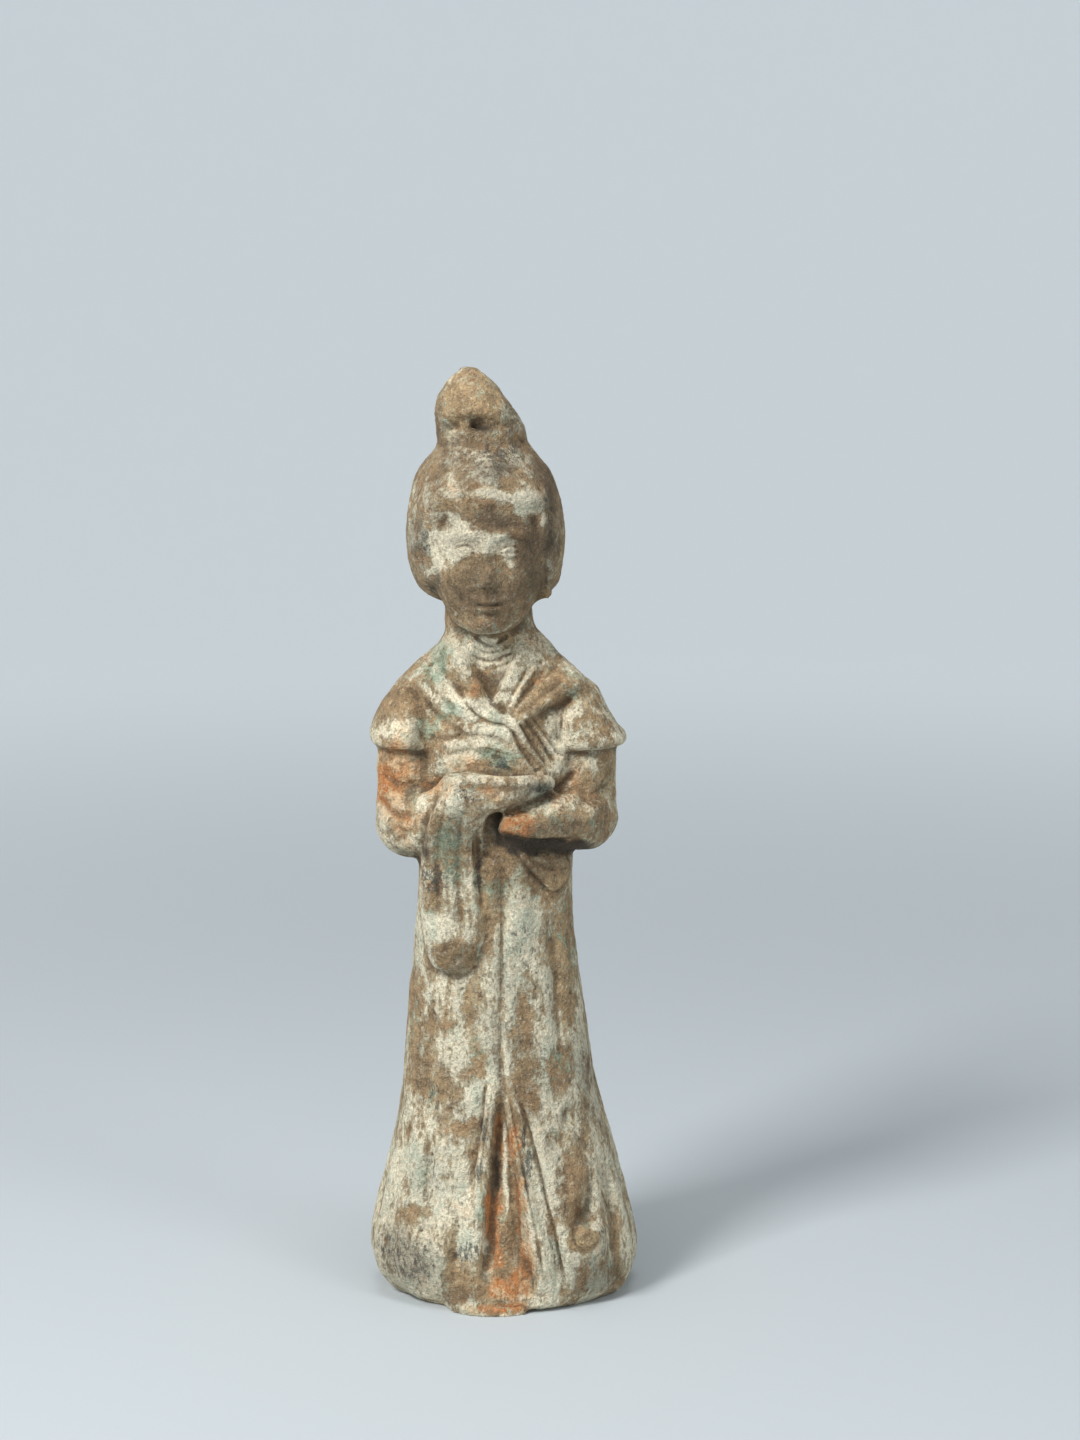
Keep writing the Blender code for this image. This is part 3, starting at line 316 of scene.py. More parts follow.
ORANGE_DABS = (
    # head
    (0.30, -28, 867, 23, 6), (0.35, -35, 854, 11, 5),
    # neck and chest
    (0.28, -33, 663, 13, 19),
    # arms and hands
    (0.30, -113, 597, 13, 9), (0.45, -110, 589, 16, 10), (0.30, -38, 579, 12, 8),
    (0.60, -106, 575, 22, 14), (0.35, -35, 575, 13, 5), (0.45, 80, 565, 11, 15), (0.60, -68, 556, 13, 9),
    (0.60, -71, 552, 12, 12), (0.95, -119, 550, 17, 23), (0.35, -10, 540, 12, 8), (0.25, 79, 538, 21, 13),
    (0.35, -86, 525, 11, 11), (1.00, 19, 514, 19, 12), (0.45, -100, 513, 14, 19),
    # shawl's end and waist
    (0.30, -48, 370, 21, 15),
    # skirt
    (0.30, -38, 187, 16, 5), (0.85, 14, 176, 7, 25), (0.85, -2, 168, 5, 41),
    # hem
    (0.75, 21, 106, 7, 31), (0.35, -51, 98, 10, 8), (0.45, 82, 92, 4, 10), (0.95, -7, 85, 7, 31),
    (0.70, -12, 73, 6, 32), (0.75, 29, 54, 7, 27), (0.45, 29, 52, 9, 24), (0.80, -7, 40, 12, 14),
    (0.50, 105, 40, 4, 17), (0.60, 25, 27, 14, 10), (0.80, 7, 15, 22, 11), (0.60, 4, 9, 28, 9),
    (0.45, 25, 4, 17, 9), (0.75, 0, -12, 34, 7),
)
GREEN_DABS = (
    # head
    (0.35, 31, 849, 15, 6), (0.30, -82, 797, 9, 28), (0.25, -20, 797, 21, 11),
    # neck and chest
    (0.90, -64, 695, 12, 12), (0.70, -65, 685, 9, 17), (0.60, -69, 672, 12, 14), (0.45, -52, 633, 11, 11),
    (0.50, -51, 633, 14, 10), (0.50, 0, 623, 11, 9), (0.45, -75, 620, 12, 17),
    # arms and hands
    (0.85, -1, 583, 20, 12), (0.55, 43, 548, 14, 6), (0.35, -34, 546, 14, 14), (0.45, -94, 534, 6, 14),
    (0.45, -55, 494, 12, 12),
    # shawl's end and waist
    (0.48, -51, 473, 14, 26), (0.50, -28, 425, 8, 8), (0.30, 23, 413, 22, 41), (0.40, -71, 401, 8, 12),
    (0.30, 66, 392, 5, 6),
    # skirt
    (0.30, 66, 251, 12, 17), (0.35, -73, 216, 14, 12), (0.45, -90, 139, 12, 27),
    # hem
    (0.50, -20, 94, 8, 23), (0.55, -34, 59, 12, 12),
)
SOIL_DABS = (
    # head
    (0.70, -25, 937, 9, 4), (0.25, -18, 905, 41, 19), (0.45, -1, 903, 19, 13), (0.45, 47, 835, 7, 41),
    (0.50, -82, 810, 7, 24),
    # arms and hands
    (0.80, 0, 580, 16, 10), (0.75, 43, 548, 16, 7), (0.40, -59, 546, 12, 12), (0.50, -34, 546, 14, 14),
    (0.60, 6, 523, 18, 3), (0.90, -4, 509, 6, 8), (0.60, 33, 488, 33, 6),
    # shawl's end and waist
    (0.70, -20, 477, 3, 31), (0.60, -18, 471, 3, 28), (0.85, -71, 455, 12, 16), (0.30, 23, 384, 29, 54),
    # skirt
    (0.35, -73, 222, 20, 25), (0.85, -15, 181, 3, 12), (0.90, 22, 172, 3, 14), (0.80, -24, 139, 4, 17),
    (0.90, 28, 139, 4, 25), (0.55, -72, 137, 3, 21), (0.70, -3, 131, 3, 19),
    # hem
    (0.40, 70, 98, 3, 12), (0.50, 113, 67, 8, 8), (0.55, -32, 52, 12, 10), (0.55, -42, 45, 9, 6),
    (0.50, -98, 40, 36, 28),
)
SOOT_AND_SHADOW_DABS = (
    # head
    # The two strong dabs in the topknot's notch paint its shade. Those at 47, 54 and 35 across darken the
    # hair's right side, partly soot and partly painted shade.
    (0.35, -65, 943, 6, 24), (0.45, 13, 943, 9, 22), (0.90, -25, 936, 7, 4), (0.80, -20, 936, 15, 6),
    (0.25, -15, 894, 47, 22), (0.35, -1, 886, 17, 11), (0.45, 47, 883, 15, 32), (0.60, -4, 834, 26, 11),
    (0.45, 54, 819, 9, 43), (0.40, -86, 808, 9, 37), (0.62, 35, 797, 17, 37), (0.55, -69, 778, 5, 15),
    (0.62, -12, 760, 52, 34),
    # neck and chest
    # The weak last dab paints the shade under the right arm.
    (0.35, 63, 657, 19, 9), (0.25, -22, 646, 13, 15), (0.45, 50, 637, 28, 4), (0.12, 42, 605, 19, 22),
    # arms and hands
    # The weak dab at 33 across paints the shade under the right arm. The dabs at -4 and -3 across paint the
    # shadow in the gap between the shawl's end and the cuff, and those at 18, 42, 58 and 90 across, from 488
    # to 511 up, paint the shadow along the forearm's underside.
    (0.40, -92, 597, 5, 32), (0.14, 33, 587, 16, 31), (0.45, 20, 549, 28, 11), (0.45, 43, 548, 18, 7),
    (0.30, 106, 538, 9, 43), (0.90, -4, 508, 5, 12), (1.10, -3, 510, 7, 13), (0.60, 58, 511, 40, 10),
    (0.35, -54, 495, 23, 28), (0.95, 18, 495, 26, 7), (0.50, -78, 489, 5, 26), (0.60, 90, 488, 19, 6),
    (1.60, 42, 490, 42, 6),
    # shawl's end and waist
    # The first dab carries the painted shadow along the forearm's underside on.
    (0.75, 63, 484, 28, 5), (0.55, -94, 480, 20, 8), (0.45, 49, 467, 26, 13), (0.35, -1, 451, 9, 26),
    (0.30, -45, 374, 25, 12), (0.18, -47, 363, 19, 11),
    # skirt
    # The broad weak dab at 70 across paints shade over the skirt's right side.
    (0.30, -3, 257, 4, 54), (0.30, 95, 225, 13, 65), (0.16, 70, 200, 50, 150), (0.50, -12, 192, 5, 15),
    (0.90, -5, 136, 4, 26),
    # hem
    (0.30, -113, 73, 15, 26), (0.30, 112, 52, 6, 13), (0.60, -100, 34, 38, 26), (0.45, 106, 19, 21, 19),
    (0.40, -44, 6, 23, 11),
)
FRONT_DABS = {
    "slip": SLIP_DABS,
    "orange": ORANGE_DABS,
    "green": GREEN_DABS,
    "soil": SOIL_DABS,
    "soot": SOOT_AND_SHADOW_DABS,
}
# Dabs on the back, plainer
BACK_DABS = {
    "slip": (
        (0.25, -40, 300, 50, 90), (-0.35, 50, 240, 30, 120), (0.20, 10, 620, 60, 40),
        (-0.40, -10, 80, 60, 60), (-0.25, -70, 140, 20, 90),
    ),
    "orange": ((0.50, -100, 540, 30, 40), (0.35, 100, 560, 30, 40)),
    "green": ((0.35, 20, 640, 40, 30), (0.30, -30, 350, 40, 60)),
    "soil": ((0.40, 30, 110, 70, 60), (0.35, -30, 850, 60, 50)),
    "soot": ((0.35, 0, 840, 80, 70), (0.35, -60, 50, 60, 40)),
}

# The studio, metres
FLOOR_RADIUS = 2.4
WALL_HEIGHT = 1.5
SWEEP = 1.1  # radius of the curve from the floor up into the wall
SWEEP_STEPS = 24  # faces of that curve
SIDES = 128  # of the round floor
FACES_UP = 0.5  # upward share of a face's normal from which it is the cylinder's lid
FLAT_FLOOR = 0.9999  # and from which it is the flat floor
BACKDROP_GLOW = (0.3, 1.3)  # distances from the figure between which the backdrop's light comes up
MATT = 0.9  # roughness of the floor
AIR_STRENGTH = 0.22  # of the light that comes from all round
CLIP_START = 0.01  # the camera sees nothing nearer than this
# Lights as a name, a place, a size and a share of the key light's power, or 0 for the fill light
LIGHTS = (
    ("left_light", (-0.66, -0.78, 1.00), 0.34, 1.0),
    ("right_light", (0.74, -0.70, 0.95), 0.34, 0.13),
    ("top_light", (0.0, -0.15, 1.30), 0.5, 0),
)

# Noise patterns of the paint: lumps to a metre, detail, roughness, stretch upwards, distortion, shift
PATTERNS = {
    "coarse wear": (110, 6, 0.68, 1.2, 0.4, 0.1),
    "middle wear": (330, 5, 0.70, 1.2, 0, 0.5),
    "small wear": (900, 2, 0.60, 1.3, 0, 0.9),
    "coarse streaks": (110, 6, 0.68, 2.6, 0.4, 0.3),
    "middle streaks": (330, 5, 0.70, 2.6, 0, 0.7),
    "small streaks": (900, 2, 0.60, 1.65, 0, 1.1),
    "clay": (90, 6, 0.65, 1, 0, 0.21),
    "darker clay": (300, 8, 0.72, 1, 0, 0.55),
    "greyed slip": (80, 8, 0.70, 1.6, 0, 0.77),
    "orange": (170, 8, 0.70, 1, 0, 1.3),
    "green": (190, 8, 0.70, 1, 0, 2.1),
    "brown specks": (620, 4, 0.66, 1.3, 0, 6.1),
    "dust": (680, 4, 0.66, 1, 0, 7.3),
    "round specks": (700, 7, 0.76, 1.2, 0, 2.9),
    "long specks": (760, 7, 0.76, 2.4, 0, 2.3),
    "stains": (240, 8, 0.72, 1, 0, 3.7),
    "tone": (70, 8, 0.70, 1.5, 0, 5.1),
    "flecks": (520, 4, 0.65, 1, 0, 0.93),
    "fine grain": (1000, 2, 0.60, 1, 0, 0.13),
    "grain": (2200, 1, 0.60, 1, 0, 0.47),
    "pores": (1500, 2, 0.60, 1, 0, 4.3),
}
NOISE_SPAN = (0.30, 0.70)  # of a noise node's values, spread over 0 to 1
# Bands of a value, and what each is made: from, to, made from, made to
BANDS = {
    "in a hollow": (0.54, 0.88, 0, 1),
    "on a ridge": (0.48, 0.20, 0, 1),
    "in a groove": (0.15, 1, 0, 1),
    "wear": (0.26, 0.74, 0, 1),
    "darker clay": (0.35, 1, 0, 0.9),
    "pale grains": (0.62, 1, 0, 0.5),
    "wash": (0, 1, 0.58, 0.85),
    "crust": (0, 1, 0.98, 0.80),
    "greyed slip": (0.45, 1, 0, 0.70),
    "pigment": (0.2, 0.8, 0, 1),
    "orange left": (0, 1, 0.85, 0.55),
    "green left": (0, 1, 0.75, 0.40),
    "brown specks": (0.62, 0.88, 0, 0.46),
    "dust": (0.68, 0.92, 0, 0.34),
    "crevice dirt and shade": (0, 1, 0.88, 0.55),
    "stains": (0, 1, 0.45, 1.2),
    "soot": (0, 1, 0, 0.96),
    "tone": (0, 1, 0.80, 1.14),
    "grainy": (0.20, 0.80, 1.16, 0.80),
    "pores": (0.62, 0.90, 0, 1),
    "roughness": (0, 1, 0.86, 0.95),
}
# Shares of the middle and small wear among the coarser
MIDDLE_WEAR = 0.42
SMALL_WEAR = 0.17
# What a ridge, a hollow and a groove add to the slip
RIDGE_SLIP = 0.16
HOLLOW_SLIP = -0.14
GROOVE_SLIP = -0.20
# The slip's thin and thick coats: cover added to the slip's own, and softness of the edges
THIN_COAT = (0.12, 0.24)
THICK_COAT = (-0.10, 0.17)
# Pigments as a layer, the share of its own pattern, the softness of its edges, its tint over slip
# and the share of that
PIGMENTS = (
    ("orange", 0.5, 0.34, "pale_orange", 0.75),
    ("green", 0.4, 0.30, "grey_slip", 0.60),
)
GROOVE_SOIL = 0.30  # soil that a groove adds
SOIL_LEFT = 0.58  # share of the soil that brushing has left
SOIL_SOFTNESS = 0.15  # of its specks' edges
SOIL_TINT = 0.74  # how much a speck hides of what it lies on
GROOVE_DIRT_AND_SHADE = 0.70  # dirt and painted shade in a groove, against that in a hollow
SHEEN = 0.25  # level of the surface's reflections
# Relief of the surface as a pattern and how many times the grit's depth it raises
GRAIN_RELIEF = (("fine grain", -3.0), ("flecks", 2.6), ("grain", -0.7), ("pores", -1.6))


class FigureSizes(bpy.types.PropertyGroup):
    grain: FloatProperty(
        name="Grain",
        description="Spacing of the points on the figure's skin",
        default=0.00090,
        min=0.0005,
        unit="LENGTH",
    )
    polish: IntProperty(
        name="Polish", description="Smoothing passes over the fresh skin", default=3, min=0
    )
    wear: FloatProperty(
        name="Wear",
        description="Depth of the lumps and hollows that wear has left",
        default=0.00036,
        unit="LENGTH",
    )
    grit: FloatProperty(
        name="Grit", description="Depth of the clay's grit", default=0.00010, unit="LENGTH"
    )
    pit: FloatProperty(
        name="Pits", description="Depth of the small pits and chips", default=0.00035, unit="LENGTH"
    )
    slip: FloatProperty(
        name="Slip", description="Thickness of the brushed slip", default=0.00016, unit="LENGTH"
    )


def colour(name, description, default):
    """A colour that the user can change."""
    return FloatVectorProperty(
        name=name, description=description, subtype="COLOR", size=4, min=0, max=1, default=(*default, 1)
    )


class FigureColours(bpy.types.PropertyGroup):
    clay: colour("Clay", "Bare fired clay", (0.330, 0.205, 0.108))
    # Also the colour of the painted shade in crevices and hollows
    dark_clay_and_shade: colour("Dark clay", "Clay that handling and soil have darkened", (0.105, 0.070, 0.042))
    pale_clay: colour("Pale clay", "Clay with a dust of soil on it", (0.510, 0.370, 0.205))
    slip: colour("Slip", "White slip under the paint", (0.880, 0.780, 0.580))
    thin_slip: colour("Thin slip", "Slip worn down to a wash", (0.560, 0.450, 0.280))
    grey_slip: colour("Grey slip", "Slip that has gone grey-green", (0.460, 0.470, 0.370))
    orange: colour("Orange", "Orange pigment", (0.600, 0.210, 0.060))
    pale_orange: colour("Pale orange", "Orange pigment worn thin over the slip", (0.780, 0.500, 0.250))
    green: colour("Green", "Copper green pigment", (0.260, 0.420, 0.310))
    soil: colour("Soil", "Blue-black specks of soil and mineral", (0.050, 0.055, 0.055))
    # Soot stains, and also the painted shadow under the forearm and in dark recesses
    soot: colour("Soot", "Grey-brown stain", (0.060, 0.046, 0.033))


class StudioSettings(bpy.types.PropertyGroup):
    distance: FloatProperty(
        name="Camera distance", description="From the camera to its aim", default=0.90, unit="LENGTH"
    )
    elevation: FloatProperty(
        name="Camera height",
        description="Of the camera above the level of its aim, as an angle",
        default=math.radians(9),
        subtype="ANGLE",
    )
    aim: FloatVectorProperty(
        name="Aim",
        description="Point in the middle of the picture",
        default=(0.0104, 0, 0.1623),
        unit="LENGTH",
    )
    picture_height: FloatProperty(
        name="Picture height",
        description="Height that the picture shows at its aim",
        default=0.3996,
        unit="LENGTH",
    )
    key_power: FloatProperty(name="Key", description="Power of the front lights, watts", default=15)
    fill_power: FloatProperty(name="Fill", description="Power of the light overhead, watts", default=4)
    glow: FloatProperty(name="Glow", description="Light that the backdrop's wall gives off", default=0.50)
    floor: colour("Floor", "Pale floor and backdrop", (0.56, 0.60, 0.62))
    air: colour("Air", "Light that comes from all round", (0.80, 0.88, 0.95))


def ramp(values):
    """0 below 0, 1 above 1 and a smooth rise between."""
    held = np.clip(values, 0, 1)
    return held * held * (3 - 2 * held)


def begins(height, start, over):
    """How far a part that begins at a height has taken hold at each of these heights."""
    return ramp((height - start) / over)


def curve_through(points):
    """Points of a smooth curve through the given points."""
    points = np.array(points, float)
    held = np.vstack((2 * points[0] - points[1], points, 2 * points[-1] - points[-2]))
    t = np.linspace(0, 1, CURVE_STEPS, endpoint=False)[:, None]
    spans = []
    for a, b, c, d in zip(held, held[1:], held[2:], held[3:]):
        bend = 2 * b + (c - a) * t + (2 * a - 5 * b + 4 * c - d) * t**2
        spans.append((bend + (3 * b - a - 3 * c + d) * t**3) / 2)
    return np.vstack((*spans, points[-1:]))


def distance_to(places, path):
    """How far each place is from the path, and how far along the path it is."""
    nearest = np.full(len(places), np.inf)
    along = np.zeros(len(places))
    steps = np.diff(path, axis=0)
    lengths = np.hypot(*steps.T)
    passed = np.concatenate(((0,), np.cumsum(lengths)))
    for start, step, length, before in zip(path, steps, lengths, passed):
        share = np.clip((places - start) @ step / length**2, 0, 1)
        distance = np.hypot(*(places - start - share[:, None] * step).T)
        closer = distance < nearest
        nearest[closer] = distance[closer]
        along[closer] = before + share[closer] * length
    return nearest, along / passed[-1]


def folds_near(places, folds, reach_of):
    """For each fold, the places near it and their distances to and along it."""
    for rise, width, points in folds:
        path = curve_through(points)
        reach = reach_of(width)
        inside = (places > path.min(axis=0) - reach) & (places < path.max(axis=0) + reach)
        near = np.flatnonzero(inside.all(axis=1))
        distance, along = distance_to(places[near], path)
        yield rise, width, near, distance, along


def pressed(places, folds):
    """The rise of a set of fine folds: above zero on a ridge and below it in a groove."""
    total = np.zeros(len(places))
    for rise, width, near, distance, along in folds_near(places, folds, lambda w: FOLD_REACH * w):
        ends = ramp(along / FADE) * ramp((1 - along) / FADE)
        total[near] += rise * np.exp(-((distance / width) ** 2)) * ends
    return total


def swelling(places, rise, across, height, half_width, half_height):
    """A soft bump, or a dent where the rise is below zero."""
    away = (places - np.array((across, height))) / np.array((half_width, half_height))
    return rise * np.exp(-(away**2).sum(axis=1))


def clouds(points, kind):
    """Smooth noise of about -1 to 1, of a kind listed in CLOUDS."""
    lumps, seed, octaves = CLOUDS[kind]
    offset = Vector((seed, seed * 2, seed * 3))
    total = np.zeros(len(points))
    for octave in range(octaves):
        scale = lumps * 2**octave
        total += np.array([noise.noise(Vector(p) * scale + offset) for p in points]) / 2**octave
    return total


class Skin:
    """The points, normals and neighbours of a mesh, with its places as shares of the height."""

    def __init__(self, mesh):
        self.mesh = mesh
        count = len(mesh.vertices)
        points = np.empty(count * 3)
        mesh.vertices.foreach_get("co", points)
        self.points = points.reshape(-1, 3) / HEIGHT + HEM_MIDDLE
        normals = np.empty(count * 3)
        mesh.vertices.foreach_get("normal", normals)
        self.normals = normals.reshape(-1, 3)
        self.front = ramp(-self.normals[:, 1] / PRESS_LIMIT)
        self.places = self.points[:, (0, 2)]
        self.seen = self.places + np.outer(self.points[:, 1] * EYE_SLOPE, (0, 1))
        edges = np.empty(len(mesh.edges) * 2, int)
        mesh.edges.foreach_get("vertices", edges)
        self.edges = edges.reshape(-1, 2)

    def move(self, rise):
        """Moves the skin out along its normals, and leaves the flat foot where it is."""
        on_ground = self.points[:, 2] < FOOT_EDGE
        moved = self.points + self.normals * np.where(on_ground, 0, rise)[:, None]
        self.place(moved)

    def draw(self, sheets, side):
        """Draws the front of the skin to soft sheets: forward for side -1 and back for side 1."""
        moved = self.points.copy()
        above = ramp((moved[:, 2] - FOOT_EDGE) / SHEET_LIFT)
        for reach, across_tilt, up_tilt, *place in sheets:
            across, up = (self.places - np.array(place[:2])).T
            away = side * (reach + across_tilt * across + up_tilt * up - moved[:, 1])
            taken = np.maximum(0, away) * ramp((SHEET_REACH - away) / SHEET_FADE)
            moved[:, 1] += side * above * dab(self.places, *place) * taken
        self.place(moved)

    def place(self, moved):
        """Puts the skin's points at these places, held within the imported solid's box."""
        points = np.clip((moved - HEM_MIDDLE) * HEIGHT, *CAD_BOX)
        self.mesh.vertices.foreach_set("co", points.ravel())
        self.mesh.update()

    def spread(self, values, passes):
        """Values evened out between neighbours, that many times."""
        a, b = self.edges.T
        count = len(self.points)
        links = np.bincount(a, minlength=count) + np.bincount(b, minlength=count)
        for _ in range(passes):
            around = np.bincount(a, values[b], count) + np.bincount(b, values[a], count)
            values = (values + around / np.maximum(links, 1)) / 2
        return values

    def hollows(self, passes):
        """How far each point lies below the evened skin, below zero where it stands proud."""
        evened = np.stack([self.spread(axis, passes) for axis in self.points.T], axis=1)
        return ((evened - self.points) * self.normals).sum(axis=1)

    def keep(self, name, values):
        """Stores one value for each point, for the material to read."""
        made = self.mesh.attributes.new(name, "FLOAT", "POINT")
        made.data.foreach_set("value", values.astype(np.float32))


def applied(figure, kind, **settings):
    """Adds a modifier of this kind to the figure and applies it."""
    modifier = figure.modifiers.new(kind.title(), kind)
    for setting, value in settings.items():
        setattr(modifier, setting, value)
    bpy.ops.object.modifier_apply(modifier=modifier.name)


def fine_skin(sizes):
    """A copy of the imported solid, merged, rounded and laid out again in fine, even faces."""
    bpy.ops.object.select_all(action="DESELECT")
    figure = bpy.data.objects.new("painted_figure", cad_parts[CAD_NODE].data.copy())
    bpy.context.scene.collection.objects.link(figure)
    figure.select_set(True)
    bpy.context.view_layer.objects.active = figure
    bpy.ops.object.mode_set(mode="EDIT")
    bpy.ops.mesh.select_all(action="SELECT")
    bpy.ops.mesh.remove_doubles(threshold=MERGE)
    bpy.ops.object.mode_set(mode="OBJECT")
    for edge in figure.data.edges:
        edge.select = all(figure.data.vertices[i].co.z < MERGE for i in edge.vertices)
    bpy.ops.object.mode_set(mode="EDIT")
    bpy.ops.mesh.select_mode(type="EDGE")
    bpy.ops.transform.edge_crease(value=1)
    bpy.ops.object.mode_set(mode="OBJECT")
    applied(figure, "SUBSURF", levels=ROUNDING, render_levels=ROUNDING)
    applied(figure, "REMESH", mode="VOXEL", voxel_size=sizes.grain)
    above_ground = figure.vertex_groups.new(name="above the ground")
    raised = [v.index for v in figure.data.vertices if v.co.z > FOOT_EDGE * HEIGHT]
    above_ground.add(raised, 1, "REPLACE")
    applied(figure, "SMOOTH", factor=MIDWAY, iterations=sizes.polish, vertex_group=above_ground.name)
    return figure


def refine(figure, folds):
    """Splits the faces on the face and near the fine folds in two each way."""
    skin = Skin(figure.data)
    from_face = (skin.seen - FACE_CENTRE) / FACE_HALVES
    wanted = (from_face**2).sum(axis=1) < 1
    for _, width, near, distance, _ in folds_near(skin.places, folds, lambda w: DETAIL_REACH):
        wanted[near] |= distance < DETAIL_REACH
    wanted &= skin.front > FRONT_FACING
    bpy.ops.object.mode_set(mode="EDIT")
    bpy.ops.mesh.select_mode(type="VERT")
    bpy.ops.mesh.select_all(action="DESELECT")
    bpy.ops.object.mode_set(mode="OBJECT")
    figure.data.vertices.foreach_set("select", wanted)
    bpy.ops.object.mode_set(mode="EDIT")
    bpy.ops.mesh.subdivide(number_cuts=1, smoothness=0)
    bpy.ops.object.mode_set(mode="OBJECT")


def face_relief(seen):
    """Features in finer detail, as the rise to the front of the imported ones."""
    rise = np.zeros(len(seen))
    for feature in MIDDLE_FEATURES:
        rise += swelling(seen, *feature)
    rise += pressed(seen, MIDDLE_LINES)
    for side in (-1, 1):
        sided = seen * np.array((side, 1))
        rise += pressed(sided, PAIRED_LINES)
        for feature in PAIRED_FEATURES:
            rise += swelling(sided, *feature)
    return rise


def carve(figure, sizes):
    """Presses in the fine folds and features, then wears, pits and chips the skin."""
    folds = NECK_FOLDS + CHEST_FOLDS + SLEEVE_FOLDS + SHAWL_FOLDS + SKIRT_FOLDS
    for sheets, side in ((FILLED, -1), (CUT, 1)):
        Skin(figure.data).draw(sheets, side)
    refine(figure, folds)
    skin = Skin(figure.data)
    strays = [clouds(skin.points, kind) for kind in ("fold across", "fold up")]
    ragged = skin.places + FOLD_WOBBLE * np.stack(strays, axis=1)
    worn_away = FOLD_WORN * ramp(MIDWAY + WORN_SPREAD * clouds(skin.points, "worn folds"))
    rise = skin.front * pressed(ragged, folds) * (1 - worn_away)
    on_face = skin.points[:, 1] < FACE_BACK
    features = skin.front * on_face * face_relief(skin.places - np.array((FACE_MIDDLE, 0)))
    skin.keep("groove", np.clip(-(rise + features) / GROOVE_DEPTH, -1, 1))
    rise += features
    for bump in BUMPS:
        rise += skin.front * swelling(skin.places, *bump)
    pits = ramp((clouds(skin.points, "pits") - PIT_SHARE) / PIT_EDGE)
    off_face = 1 - FACE_KEPT * on_face * skin.front * dab(skin.seen, *FACE_CENTRE, *FACE_HALVES)
    coarser = 1 + TOPKNOT_GRIT * begins(skin.points[:, 2], *ROUGH_TOPKNOT)
    worn = sizes.wear * clouds(skin.points, "wear") + sizes.grit * coarser * clouds(skin.points, "grit")
    rise += off_face * (worn - sizes.pit * pits) / HEIGHT
    skin.move(rise)


def dab(places, across, height, half_width, half_height):
    """How much of a soft oval dab covers each place: 1 in its middle and 0 past its edge."""
    away = (places - np.array((across, height))) / np.array((half_width, half_height))
    return ramp((DAB_REACH - np.hypot(*away.T)) / DAB_EDGE)


def painted(skin, ragged, base, front_dabs, back_dabs):
    """One layer's cover at each point: its base value, more or less of it where it is dabbed."""
    cover = np.array(base, float)
    back = ramp(skin.normals[:, 1] / PRESS_LIMIT)
    for facing, dabs in ((skin.front, front_dabs), (back, back_dabs)):
        for strength, *place in dabs:
            cover += strength * facing * dab(ragged, *(DAB_UNIT * np.array(place)))
    return np.clip(cover, 0, 1)


def paint(figure):
    """Keeps on the skin how much of each layer survives, and how deep in a hollow it lies."""
    skin = Skin(figure.data)
    height = skin.points[:, 2]
    parts = {"all": np.ones(len(height)), "skirt": begins(height, *SKIRT), "head": begins(height, *HEAD)}
    parts["topknot"] = begins(height, *TOPKNOT)
    parts["hair"] = begins(height, *HAIR) * (1 - parts["topknot"])
    parts["dress"] = 1 - parts["head"]
    parts["bodice"] = parts["dress"] * (1 - parts["skirt"])
    strays = [clouds(skin.points, kind) for kind in ("dab across", "dab up")]
    ragged = skin.seen + DAB_WOBBLE * np.stack(strays, axis=1)
    for layer, covers in BASE_COVER.items():
        start = sum(cover * parts[part] for part, cover in covers.items())
        dabs = FRONT_DABS.get(layer, ()), BACK_DABS.get(layer, ())
        skin.keep(layer, painted(skin, ragged, start, *dabs))
    fine = skin.hollows(HOLLOW_PASSES[0]) / HOLLOW_DEPTHS[0]
    broad = skin.hollows(HOLLOW_PASSES[1]) / HOLLOW_DEPTHS[1]
    skin.keep("hollow", np.clip(MIDWAY + (fine + broad) / 2, 0, 1))


